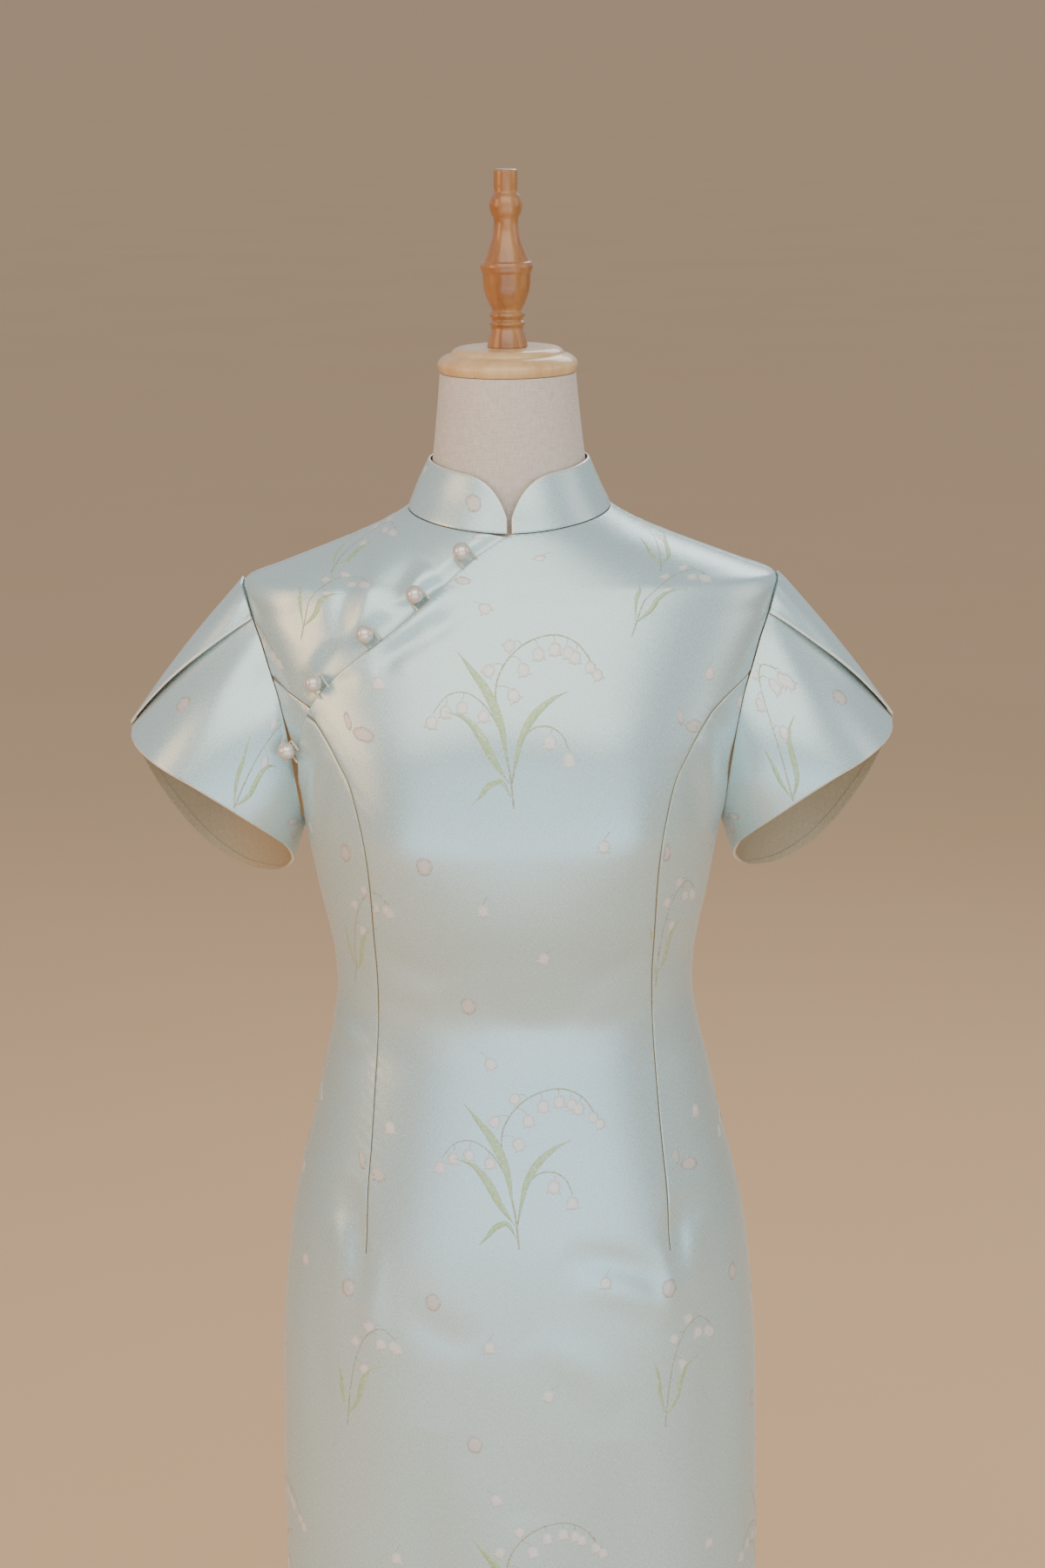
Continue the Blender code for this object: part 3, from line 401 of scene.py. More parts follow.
def heightsFrom(low, high, step=0.004):
    return np.linspace(low, high, max(int(abs(high - low) / step), 2) + 1)


def sideEdge(sign, side, low, high):
    height = heightsFrom(low, high)
    spread = cloth["slitSpread"] * (1 - ease(cloth["hem"], cloth["slitTop"], height))
    off = (cloth["seamGap"] / 2 + spread) / (smoothAt(body["sections"], 1, height) * mm)
    return toChart(sign * (quarterTurn - side * off), height)


def armholeAngle(sign, side, height):
    if side > 0:
        return sign * frontAngle(smoothAt(armhole, 1, height) * mm, height)
    return sign * backAngle(smoothAt(armhole, 2, height) * mm, height)


def armholeEdge(sign, side, low=None, high=None):
    # the armhole's table stops short of the side seam and the shoulder seam, and straight stretches close it
    height = heightsFrom(low or armhole[-1][0], high or armhole[0][0], 0.003)
    line = toChart(armholeAngle(sign, side, height), height)
    gap = cloth["seamGap"] / 2 * side / 0.184
    ends = [line]
    if not low:
        ends.insert(0, toChart(np.array([sign * (quarterTurn - gap)]), np.array([cloth["armpit"]])))
    if not high:
        ends.append(toChart(np.array([sign * (quarterTurn - gap)]), np.array([cloth["shoulderTip"]])))
    return respace(np.vstack(ends), 2 * mm)


def neckHeight(angle):
    turn = np.cos(angle)
    low = np.where(turn > 0, cloth["neckFront"], cloth["neckBack"])
    return cloth["neckSide"] + (low - cloth["neckSide"]) * np.abs(turn) ** 1.5


def neckEdge(start, end):
    angle = np.linspace(start, end, 60)
    return toChart(angle, neckHeight(angle))


def princessEdge(sign, top, shift):
    height = heightsFrom(top, cloth["dartEnd"] + 0.001)
    out = smoothAt(princess, 1, height) * mm
    return toChart(sign * (frontAngle(out, height) + shift / reach(0.8, height)), height)


def openingEdge(low, high):
    height = heightsFrom(high, low, 0.002)
    return toChart(-frontAngle(smoothAt(opening, 1, height) * mm, height), height)


def lapped(height, lap):
    # a lap's width in under the front, square to the opening
    step = 4 * mm
    heights = height, max(height - step, cloth["flapMeetsArmhole"]), min(height + step, cloth["neckFront"])
    here, low, high = (openingEdge(h, h)[0] for h in heights)
    run = (low - high) / np.linalg.norm(low - high)
    return here + np.array([-run[1], run[0]]) * lap


openingLine = openingEdge(cloth["flapMeetsArmhole"], cloth["neckFront"])


def flapSink(spots):
    # the flap lies under the front beside the opening, and comes up level with it further away
    under = spots[:, 0] > np.interp(spots[:, 1], openingLine[::-1, 1], openingLine[::-1, 0])
    away = nearest(spots, openingLine)
    return cloth["flapSink"] * np.where(under, 1.0, 1 - ease(cloth["sinkNear"], cloth["sinkFar"], away))


def addThing(name, data):
    thing = bpy.data.objects.new(name, data)
    bpy.context.collection.objects.link(thing)
    return thing


def addMesh(name, points, faces, material, smoothBelow=50):
    mesh = bpy.data.meshes.new(name)
    mesh.from_pydata(np.asarray(points).tolist(), [], faces)
    mesh.materials.append(material)
    mesh.shade_smooth()
    mesh.set_sharp_from_angle(angle=math.radians(smoothBelow))
    return addThing(name, mesh)


def addMap(thing, spots):
    layer = thing.data.uv_layers.new(name="cloth")
    corners = np.empty(len(thing.data.loops), np.int32)
    thing.data.loops.foreach_get("vertex_index", corners)
    layer.data.foreach_set("uv", np.asarray(spots, np.float32)[corners].ravel())


def addValues(thing, name, values):
    layer = thing.data.attributes.new(name, "FLOAT", "POINT")
    layer.data.foreach_set("value", np.asarray(values, np.float32))


def edgeShape(away):
    # the turned edge rolls down; the pucker beside a seam is added in makePanel
    roll = np.clip(1 - away / cloth["edgeRound"], 0, 1)
    return cloth["edgeDrop"] * (1 - np.sqrt(np.clip(1 - roll ** 2, 0, 1)))


def closeShell(name, outer, inner, faces, material, spots, away):
    # outer and inner copies of a patch, joined by a rim along its edges
    count = len(outer)
    faces = np.asarray(faces)
    a, b, c = (outer[faces[:, k]] for k in range(3))
    if (np.cross(b - a, c - a) * (a - inner[faces[:, 0]])).sum() < 0:
        faces = faces[:, ::-1]
    pairs = np.concatenate([faces[:, [k, (k + 1) % faces.shape[1]]] for k in range(faces.shape[1])])
    known = set(map(tuple, pairs.tolist()))
    rim = [(q, p, p + count, q + count) for p, q in known if (q, p) not in known]
    walls = faces.tolist() + (faces[:, ::-1] + count).tolist() + rim
    thing = addMesh(name, np.vstack([outer, inner]), walls, material)
    # the inner faces take the dark inside finish, painted shade
    thing.data.materials.append(shadedInside)
    sides = np.zeros(len(walls), np.int32)
    sides[len(faces):2 * len(faces)] = 1
    thing.data.polygons.foreach_set("material_index", sides)
    addMap(thing, np.vstack([spots, spots]))
    addValues(thing, "fromEdge", np.concatenate([away, away]))
    return thing


def clothPoint(angle, height, depth=0.0):
    # a point of the finished cloth, folds and all, at a depth below its face
    normal = outward(angle, height)
    lift = foldRise(angle, height) - depth
    return skin(angle, height) + normal * np.asarray(lift)[..., None]


def makePanel(name, edges, material, grid, sink=None):
    outline = np.vstack([respace(edge, net["edge"]) for edge in edges])
    fresh = np.linalg.norm(outline - np.roll(outline, 1, axis=0), axis=1) > net["sameSpot"]
    outline = outline[fresh]
    if (outline[:, 0] * np.roll(outline[:, 1], -1) - np.roll(outline[:, 0], -1) * outline[:, 1]).sum() < 0:
        outline = outline[::-1]
    run = unit(np.roll(outline, -1, axis=0) - np.roll(outline, 1, axis=0))
    inwards = np.stack([-run[:, 1], run[:, 0]], axis=-1)
    edging, lattice = [], []
    for off in net["rows"]:
        beside = outline + inwards * off
        edging.append(beside[(nearest(beside, outline, True) > off * 0.9) & within(beside, outline)])
    low, high = outline.min(axis=0), outline.max(axis=0)
    for k, y in enumerate(np.arange(low[1], high[1], grid * math.sqrt(3) / 2)):
        x = np.arange(low[0] + (k % 2) * grid / 2, high[0], grid)
        lattice.append(np.stack([x, np.full_like(x, y)], axis=-1))
    lattice = np.vstack(lattice)
    lattice = lattice[within(lattice, outline)]
    lattice = lattice[nearest(lattice, outline, True) > net["edge"]]
    everything = np.vstack([outline, *edging, lattice])
    made = delaunay_2d_cdt([Vector(p) for p in everything], [], [list(range(len(outline)))], 1, 1e-7)
    corners, faces = np.array([tuple(p) for p in made[0]]), [tuple(f) for f in made[2]]
    away = nearest(corners, outline, True)
    angle, height = fromChart(corners)
    depth = sink(corners) if sink else np.zeros(len(corners))
    pitch = wholeTurn / cloth["puckerPitch"]
    beside = np.exp(-((away - cloth["puckerAway"]) / cloth["puckerReach"]) ** 2)
    pucker = cloth["pucker"] * beside * np.sin(pitch * (corners[:, 0] + corners[:, 1]) + 3 * np.sin(40 * height))
    outer = clothPoint(angle, height, depth + edgeShape(away) - pucker)
    inner = clothPoint(angle, height, depth + cloth["wall"])
    return closeShell(name, outer, inner, faces, material, corners, away), outline


def dartNotch(sign, top):
    slit = cloth["seamGap"] / 2
    end = toChart(sign * frontAngle(princess[-1][1] * mm, cloth["dartEnd"]), cloth["dartEnd"])[None, :]
    return princessEdge(sign, top, -slit), end, princessEdge(sign, top, slit)[::-1]


def makeFront(material):
    top, crossing, gap = cloth["princessTop"], cloth["crossing"], cloth["dartOpen"]
    nearRight, endRight, farRight = dartNotch(1, top - gap)
    nearLeft, endLeft, farLeft = dartNotch(-1, crossing)
    hem = toChart(np.linspace(-quarterTurn, quarterTurn, 200), np.full(200, cloth["hem"]))[3:-3]
    seam = cloth["seamGap"] / 2
    lowLeft = armholeEdge(-1, 1, high=cloth["flapMeetsArmhole"])[::-1]
    edges = [
        hem, sideEdge(1, 1, cloth["hem"], cloth["armpit"]), armholeEdge(1, 1, high=top - gap),
        farRight[::-1], endRight, nearRight[::-1], armholeEdge(1, 1, low=top + gap),
        sideEdge(1, 1, cloth["shoulderTip"], cloth["neckSide"]), neckEdge(quarterTurn, 0.0)[1:],
        openingEdge(crossing + seam, cloth["neckFront"])[1:], nearLeft[1:], endLeft, farLeft[:-1],
        openingEdge(cloth["flapMeetsArmhole"], crossing - seam), lowLeft[1:],
        sideEdge(-1, 1, cloth["hem"], cloth["armpit"])[::-1],
    ]
    return makePanel("frontPanel", edges, material, net["front"])


def makeBack(material):
    def turn(line):
        return line + np.array([wholeTurn * cloth["chartRadius"], 0.0]) * (line[:, :1] < 0)

    last = 3 * quarterTurn
    hem = toChart(np.linspace(quarterTurn, last, 200), np.full(200, cloth["hem"]))[3:-3]
    edges = [
        hem, turn(sideEdge(-1, -1, cloth["hem"], cloth["armpit"])), turn(armholeEdge(-1, -1)),
        turn(sideEdge(-1, -1, cloth["shoulderTip"], cloth["neckSide"])), neckEdge(last, quarterTurn)[1:-1],
        sideEdge(1, -1, cloth["shoulderTip"], cloth["neckSide"])[::-1], armholeEdge(1, -1)[::-1],
        sideEdge(1, -1, cloth["hem"], cloth["armpit"])[::-1],
    ]
    return makePanel("backPanel", edges, material, net["back"])


def seamRows(rows, aside=0.0):
    return np.array([toChart(aside - frontAngle(out * mm, height), np.array(height)) for height, out in rows])


def makeFlap(material):
    aside = cloth["seamGap"] / 2 / cloth["chartRadius"]
    lowest = lapped(cloth["crossing"] + 0.004, cloth["flapLap"])
    under = np.array([lowest] + [lapped(h, cloth["flapLap"]) for h in (1.2276, 1.2495, 1.2700, 1.2900, 1.3080)])
    edges = [
        neckEdge(0.10, -quarterTurn)[:-1], sideEdge(-1, 1, cloth["shoulderTip"], cloth["neckSide"])[::-1],
        armholeEdge(-1, 1, low=flapSeam["top"] + cloth["seamGap"] / 2)[::-1],
        seamRows(flapSeam["rows"], aside), under,
    ]
    return makePanel("underFlap", edges, material, net["flap"], flapSink)


def makeFlapSide(material):
    aside = cloth["seamGap"] / 2 / cloth["chartRadius"]
    rows = seamRows(flapSideUnder["rows"])
    low, high = flapSideUnder["low"], flapSeam["top"] - cloth["seamGap"] / 2
    edges = [armholeEdge(-1, 1, low=low, high=high)[::-1], rows, seamRows(flapSeam["rows"][::-1], -aside)]
    return makePanel("flapSide", edges, material, net["flapSide"], flapSink)


def gridFaces(columns, rows, around=False):
    # rows run fastest; around closes the last column onto the first
    k = np.arange((columns if around else columns - 1) * (rows - 1))
    i, j = k // (rows - 1), k % (rows - 1)
    after = (i + 1) % columns
    return np.stack([i * rows + j, after * rows + j, after * rows + j + 1, i * rows + j + 1], axis=-1)


collar = {
    "halfWidth": 55.5 * mm, "front": 53.5 * mm, "back": 52.0 * mm,
    "topFront": 1.3675, "topSide": 1.3745, "topBack": 1.3790,
    "corner": 44 * mm, "open": 1.5 * mm, "lift": 0.45 * mm, "radius": 62 * mm, "columns": 300, "rows": 30,
}


def collarFoot(angle):
    return skin(angle, neckHeight(angle)) + np.array([0, 0, collar["lift"]])


def collarTop(angle):
    ahead = np.cos(angle)
    depth = np.where(ahead > 0, collar["front"], collar["back"])
    radius = 1 / np.hypot(np.sin(angle) / collar["halfWidth"], ahead / depth)
    rim = np.where(ahead > 0, collar["topFront"], collar["topBack"])
    height = collar["topSide"] + (rim - collar["topSide"]) * np.abs(ahead) ** 1.5
    return roundPoint(radius, angle, height)


def onBand(angle, share):
    return collarFoot(angle) * (1 - share[..., None]) + collarTop(angle) * share[..., None]


def collarPoint(angle, share, depth=0.0):
    around = onBand(angle + 0.004, share) - onBand(angle - 0.004, share)
    normal = unit(np.cross(around, collarTop(angle) - collarFoot(angle)))
    swell = 0.5 * mm * np.sin(3 * angle + 0.6) * np.sin(halfTurn * np.clip(share, 0, 1)) ** 2
    return onBand(angle, share) + normal * np.asarray(swell - depth)[..., None]


def collarCorner(angle):
    along = np.abs((angle + halfTurn) % wholeTurn - halfTurn) * collar["radius"]
    share = np.minimum(along / collar["corner"], 1.0)
    return np.maximum((1 - (1 - share) ** 3) ** 0.6, 0.12)


def makeCollar(material):
    columns, rows = collar["columns"], collar["rows"]
    start = collar["open"] / (collar["front"] + 8 * mm)
    crowd = np.linspace(0, 1, columns)
    crowd = crowd - np.sin(wholeTurn * crowd) / wholeTurn * 0.72
    angle = start + (wholeTurn - 2 * start) * crowd
    up = np.linspace(0, 1, rows)
    up = up - np.sin(wholeTurn * up) / wholeTurn * 0.5
    corner = collarCorner(angle)
    turn, share = np.repeat(angle, rows), (corner[:, None] * up).ravel()
    band = np.linalg.norm(collarTop(angle) - collarFoot(angle), axis=-1)
    toEnd = np.minimum(turn - angle[0], angle[-1] - turn) * collar["radius"]
    toTop = ((corner[:, None] * (1 - up)) * band[:, None]).ravel()
    toFoot = ((corner[:, None] * up) * band[:, None]).ravel()
    away = np.minimum(toEnd, toTop)
    roll = edgeShape(np.minimum(away, toFoot + 0.4 * mm))
    outer = collarPoint(turn, share, roll)
    inner = collarPoint(turn, share, cloth["wall"] - roll * 0.35)
    spots = np.stack([turn * collar["radius"], share * 0.033], axis=-1)
    return closeShell("standCollar", outer, inner, gridFaces(columns, rows), material, spots, away)


sleeve = {
    "lap": 0.088, "tipLap": 0.006, "lift": 2.4 * mm, "gape": 2.6 * mm, "liftStart": 0.78, "liftEnd": 0.90,
    "seam": 0.35 * mm, "puff": 7 * mm, "tipRound": 0.05, "tipShort": 0.035, "lapPart": 0.16,
    "columns": 220, "rows": 60, "girth": 0.43, "length": 0.115,
    "mouth": [  # turn, then out, along y and height in millimetres
        (0.00, 269, 2, 1184), (0.07, 262, -28, 1178), (0.13, 245, -52, 1169), (0.20, 219, -64, 1156),
        (0.30, 184, -61, 1132), (0.37, 167, -47, 1117), (0.44, 157, -22, 1102), (0.50, 156, 5, 1087),
        (0.57, 168, 32, 1074), (0.66, 195, 56, 1073), (0.76, 224, 62, 1091), (0.86, 249, 44, 1128),
        (0.94, 263, 21, 1163),
    ],
}


def loopTable(points, turns):
    rows = np.column_stack([turns, points])
    return np.vstack([rows + np.array([k, 0, 0, 0]) for k in (-1, 0, 1)]).tolist()


def armholeLoop():
    sides = []
    for side in (1, -1):
        angle, height = fromChart(armholeEdge(1, side))
        sides.append(skin(angle, height))
    tip = skin(np.array([quarterTurn]), np.array([cloth["shoulderTip"]]))
    pit = skin(np.array([quarterTurn]), np.array([cloth["armpit"]]))
    points = np.vstack([tip, sides[0][::-1], pit, sides[1]])
    half = len(sides[0]) + 1
    runs = runsAlong(np.vstack([points, points[:1]]))
    whole, runs = runs[-1], runs[:-1]
    middle = runs[half]
    turns = np.where(runs <= middle, runs / middle / 2, 0.5 + (runs - middle) / (whole - middle) / 2)
    return loopTable(points, turns)


sleeveHoles = armholeLoop()
sleeveMouths = loopTable(np.array(sleeve["mouth"])[:, 1:] * mm, np.array(sleeve["mouth"])[:, 0])


def onLoop(table, turn):
    return np.stack([smoothAt(table, k, turn) for k in (1, 2, 3)], axis=-1)


def sleevePoint(turn, along):
    root, rim = onLoop(sleeveHoles, turn), onLoop(sleeveMouths, turn)
    run = rim - root
    straight = unit(run)
    root = root + straight * sleeve["seam"]
    middle = onLoop(sleeveMouths, np.arange(8) / 8).mean(axis=0)
    armhole = onLoop(sleeveHoles, np.array([0.25, 0.75])).mean(axis=0)
    away = (root + rim) / 2 - (middle + armhole) / 2
    away = unit(away - straight * (away * straight).sum(axis=-1, keepdims=True))
    length = np.minimum(np.linalg.norm(run, axis=-1) / 0.11, 1.0)
    flank = np.sin(wholeTurn * (turn % 0.5)) ** 2
    puff = sleeve["puff"] * np.sin(halfTurn * along) * flank * length
    return root + (rim - root) * along[..., None] + away * puff[..., None]


def sleeveRows(across, along):
    # across runs 0 to 1 over the cut sleeve, from the front petal's free edge to the back petal's
    part = sleeve["lapPart"]
    inLap = np.clip(np.minimum(across, 1 - across) / part, 0, 1)
    between = np.clip((across - part) / (1 - 2 * part), 0, 1)
    lap = sleeve["tipLap"] + (sleeve["lap"] - sleeve["tipLap"]) * np.clip(1 - along, 0, 1) ** 0.8
    past = lap * (2 * inLap - 1)
    turn = np.where(across < 1 - part, past + (1 - 2 * lap) * between, 1 - past)
    nearEnd = np.minimum(turn + lap, 1 + lap - turn)
    along = along - sleeve["tipShort"] * (1 - ease(0.0, sleeve["tipRound"], nearEnd)) * ease(0.5, 1.0, along)
    return turn, along


def sleeveSheet(across, along, depth=0.0, sign=1):
    turn, along = sleeveRows(across, along)
    around = sleevePoint(turn + 0.004, along) - sleevePoint(turn - 0.004, along)
    down = sleevePoint(turn, np.minimum(along + 0.02, 1.0)) - sleevePoint(turn, np.maximum(along - 0.02, 0.0))
    normal = unit(np.cross(around, down))
    swell = np.sin(halfTurn * np.clip(along, 0, 1))
    lift = ease(sleeve["liftStart"], sleeve["liftEnd"], turn) * (sleeve["lift"] + sleeve["gape"] * swell)
    gathers = np.exp(-(along / 0.28) ** 2) * ease(0.0, 0.06, along)
    uneven = 0.6 + 0.4 * np.cos(wholeTurn * (turn + 0.12 * sign))
    drape = 0.5 * gathers * np.sin(wholeTurn * 11 * turn + 2 * sign) * uneven
    flank = np.sin(wholeTurn * (turn % 0.5)) ** 2
    drape += 0.9 * swell * np.sin(wholeTurn * 3 * turn + 1.4 * sign + 2 * along) * flank
    spot = sleevePoint(turn, along) + normal * np.asarray(lift + drape * mm - depth)[..., None]
    return spot * np.array([sign, 1, 1])


def makeSleeve(name, sign, material):
    columns, rows = sleeve["columns"], sleeve["rows"]
    across = np.linspace(0, 1, columns)
    across = across - np.sin(wholeTurn * across) / wholeTurn * 0.6
    down = np.linspace(0, 1, rows)
    down = down + np.sin(halfTurn * down) / halfTurn * 0.35 * down
    across, along = np.repeat(across, rows), np.tile(down, columns)
    toHem = (1 - along) * sleeve["length"]
    toEnd = np.minimum(across, 1 - across) * sleeve["girth"]
    away = np.minimum(toHem, toEnd)
    roll = edgeShape(away)
    outer = sleeveSheet(across, along, roll, sign)
    inner = sleeveSheet(across, along, cloth["wall"] - roll * 0.35, sign)
    spots = np.stack([across * sleeve["girth"], along * sleeve["length"]], axis=-1)
    return closeShell(name, outer, inner, gridFaces(columns, rows), material, spots, away)


def makeFacing(name, sign, material):
    # the turned-up hem inside the sleeve
    columns, rows = 160, 6
    across = np.repeat(np.linspace(0.012, 0.988, columns), rows)
    along = np.tile(np.linspace(0.955, 0.994, rows), columns)
    outer = sleeveSheet(across, along, cloth["wall"] + 0.02 * mm, sign)
    inner = sleeveSheet(across, along, cloth["wall"] + 0.5 * mm, sign)
    spots = np.stack([across * sleeve["girth"], along * sleeve["length"]], axis=-1)
    return closeShell(name, outer, inner, gridFaces(columns, rows), material, spots, np.full(len(spots), 5 * mm))


def faceOut(thing):
    shell = bmesh.new()
    shell.from_mesh(thing.data)
    bmesh.ops.recalc_face_normals(shell, faces=shell.faces)
    if shell.calc_volume(signed=True) < 0:
        bmesh.ops.reverse_faces(shell, faces=shell.faces)
    shell.to_mesh(thing.data)
    shell.free()
    return thing


def turned(name, rings, material, smoothBelow=40):
    # a closed solid from rings of points, top to bottom
    rings = np.asarray(rings)
    count, around = rings.shape[:2]
    points = rings.transpose(1, 0, 2).reshape(-1, 3)
    ends = [[k * count for k in range(around)], [k * count + count - 1 for k in range(around)]]
    faces = gridFaces(around, count, True).tolist() + ends
    return faceOut(addMesh(name, points, faces, material, smoothBelow))


def lathe(name, profile, material, around, dent=None):
    turn = np.linspace(0, wholeTurn, around, endpoint=False)
    radius, height = np.array(profile).T
    radius = radius[:, None] * np.ones(around)
    if dent:
        radius = radius - dent(turn[None, :], height[:, None])
    return turned(name, roundPoint(radius, turn, height[:, None]), material, 35)


def rounded(profile, step):
    # a smooth line through a profile's points, in order from the top down
    line = np.array(profile, float)
    runs = runsAlong(line)
    rows = [(run, *point) for run, point in zip(runs, line)]
    at = np.linspace(0, runs[-1], int(runs[-1] / step))
    return np.stack([smoothAt(rows, k, at) for k in (1, 2)], axis=-1)


def tube(path, radius):
    sides = 14
    path = np.asarray(path, float)
    ahead = unit(np.gradient(path, axis=0))
    side = unit(np.cross(ahead[0], [0.31, 0.9, 0.3]))
    rings = []
    for point, along in zip(path, ahead):
        side = unit(side - along * side.dot(along))
        other = np.cross(along, side)
        turn = np.linspace(0, wholeTurn, sides, endpoint=False)[:, None]
        rings.append(point + radius * (np.cos(turn) * side + np.sin(turn) * other))
    points = np.array(rings).reshape(-1, 3)
    faces = []
    for i in range(len(path) - 1):
        for k in range(sides):
            a, b = i * sides + k, i * sides + (k + 1) % sides
            faces.append((a, b, b + sides, a + sides))
    last = (len(path) - 1) * sides
    return points, faces + [tuple(reversed(range(sides))), tuple(last + k for k in range(sides))]


# the woven print, lily of the valley: red, green and blue of its threads
tone = {
    "stem": (0.30, 0.25, 0.08), "leaf": (0.34, 0.46, 0.09), "bell": (0.85, 0.73, 0.73),
    "bellShade": (0.58, 0.46, 0.44), "petal": (0.66, 0.52, 0.48), "bronze": (0.34, 0.19, 0.12),
    "gold": (0.56, 0.42, 0.28),
}


def turnBy(degrees):
    c, s = math.cos(math.radians(degrees)), math.sin(math.radians(degrees))
    return np.array([[c, s], [-s, c]])


class Drawing:
    # flat woven shapes in millimetres, gathered before they are laid on the cloth
    def __init__(self):
        self.points, self.faces, self.colors, self.rims, self.heights = [], [], [], [], []
        self.count = 0

    def add(self, points, faces, colors, rims, heights):
        self.points.append(points)
        self.faces.append(np.asarray(faces) + self.count)
        self.colors.append(np.broadcast_to(colors, (len(points), 3)))
        self.rims.append(np.broadcast_to(rims, len(points)))
        self.heights.append(np.broadcast_to(heights, len(points)))
        self.count += len(points)

    def ribbon(self, line, widths, color, edge=None, rim=0.0):
        # a tapering band: edge is the colour of its outermost threads
        line, widths = np.asarray(line, float), np.asarray(widths, float)
        ahead = unit(np.gradient(line, axis=0))
        aside = np.stack([-ahead[:, 1], ahead[:, 0]], axis=-1)
        across = np.array([-1.0, -0.7, 0.7, 1.0] if edge else [-1.0, 0.0, 1.0])
        outer = np.abs(across) == 1
        points = (line[:, None, :] + aside[:, None, :] * (widths[:, None] / 2 * across)[..., None]).reshape(-1, 2)
        colors = np.tile(np.where(outer[:, None], edge or color, color), (len(line), 1))
        heights = np.tile(np.where(outer, 0.1, 1.0), len(line))
        rims = np.tile(np.where(outer, rim, 0.0), len(line))
        self.add(points, gridFaces(len(line), len(across)), colors, rims, heights)

    def fan(self, ring, middle, color, edge, rim=1.0):
        # a filled shape inside a ring of points
        shares = (0.0, 0.55, 0.86, 1.0)
        ring, middle = np.asarray(ring, float), np.asarray(middle, float)
        points = np.vstack([middle + (ring - middle) * share for share in shares])
        colors = np.vstack([np.tile(edge if share > 0.85 else color, (len(ring), 1)) for share in shares])
        rims = np.repeat([rim if share > 0.85 else 0.0 for share in shares], len(ring))
        heights = np.repeat([1 - 0.9 * share ** 6 for share in shares], len(ring))
        rows = len(ring)
        k = np.arange((len(shares) - 1) * rows)
        near, after = k // rows * rows, (k + 1) % rows
        faces = np.stack([near + k % rows, near + rows + k % rows, near + rows + after, near + after], axis=-1)
        self.add(points, faces, colors, rims, heights)

    def copy(self, tilt, flip):
        points = np.vstack(self.points) * np.array([flip, 1]) @ turnBy(tilt)
        rims, heights = np.concatenate(self.rims), np.concatenate(self.heights)
        return points, np.vstack(self.faces), np.vstack(self.colors), rims, heights


def curve(*knots, count=24):
    # a smooth line through a few knots
    knots = np.array(knots, float)
    rows = [(k, *point) for k, point in enumerate(knots)]
    at = np.linspace(0, len(knots) - 1, count)
    return np.stack([smoothAt(rows, k, at) for k in (1, 2)], axis=-1)


def drawBell(drawing, x, y, aim=-90.0, size=9.5, stalk=None):
    # one hanging flower: a round bell with a flared, scalloped lip
    half = np.array([
        (0.06, 0.00), (0.30, 0.10), (0.44, 0.30), (0.47, 0.52), (0.41, 0.72), (0.44, 0.84), (0.58, 0.96),
        (0.42, 1.00), (0.28, 0.93), (0.12, 1.04),
    ])
    ring = np.vstack([half, [(0.0, 1.06)], half[::-1] * np.array([-1, 1])]) * size
    turn = math.radians(aim)
    c, s = math.cos(turn), math.sin(turn)
    place = np.array([[-s, c], [c, s]])  # across the bell, then along its aim
    ring = ring @ place + np.array([x, y])
    middle = np.array([x, y]) + np.array([c, s]) * size * 0.55
    drawing.fan(ring, middle, tone["bell"], tone["gold"])
    for off in (-0.2, 0.2):
        line = curve((off * 0.6, 0.12), (off * 1.2, 0.5), (off, 0.88), count=8) * size @ place + np.array([x, y])
        drawing.ribbon(line, np.full(8, 0.4), tone["bellShade"], None, 0.15)
    if stalk is not None:
        line = curve(stalk, ((stalk[0] + x) / 2 + 0.8, (stalk[1] + y) / 2 + 1.0), (x, y), count=8)
        drawing.ribbon(line, np.full(8, 0.8), tone["stem"])


def drawBud(drawing, x, y, tilt, long, wide):
    # a plump bud with bronze ribs
    t = np.linspace(0, wholeTurn, 23)[:-1]
    place = turnBy(tilt)
    ring = np.stack([wide / 2 * np.cos(t) * (1 + 0.08 * np.cos(5 * t)), long / 2 * np.sin(t)], axis=-1)
    ring = ring @ place + np.array([x, y])
    drawing.fan(ring, ring.mean(axis=0), tone["petal"], tone["bronze"], rim=0.6)
    for off in (-0.62, -0.22, 0.22, 0.62):
        top = 0.42 * long * math.sqrt(1 - off * off)
        rib = curve((off * wide / 2 * 0.6, -top), (off * wide / 2, 0.0), (off * wide / 2 * 0.5, top), count=8)
        drawing.ribbon(rib @ place + np.array([x, y]), np.full(8, 0.85), tone["bronze"], None, 0.3)


def bandLeaf(drawing, knots, width):
    # a long leaf through a few knots, widest before its middle
    line = curve(*knots, count=28)
    t = np.linspace(0, 1, 28)
    widths = np.maximum(width * np.sin(halfTurn * t ** 0.85) ** 1.3, 0.7)
    drawing.ribbon(line, widths, tone["leaf"], tone["stem"], 0.5)


def drawStem(drawing, knots, wide, count=40):
    line = curve(*knots, count=count)
    drawing.ribbon(line, 1.3 * np.linspace(wide, wide * 0.65, count), tone["stem"], None, 0.1)
    return line


def hangBells(drawing, stem, rows):
    for at, across, down, aim, size in rows:
        x, y = stem[at] + np.array([across, -down])
        drawBell(drawing, x, y, aim, size, tuple(stem[at]))


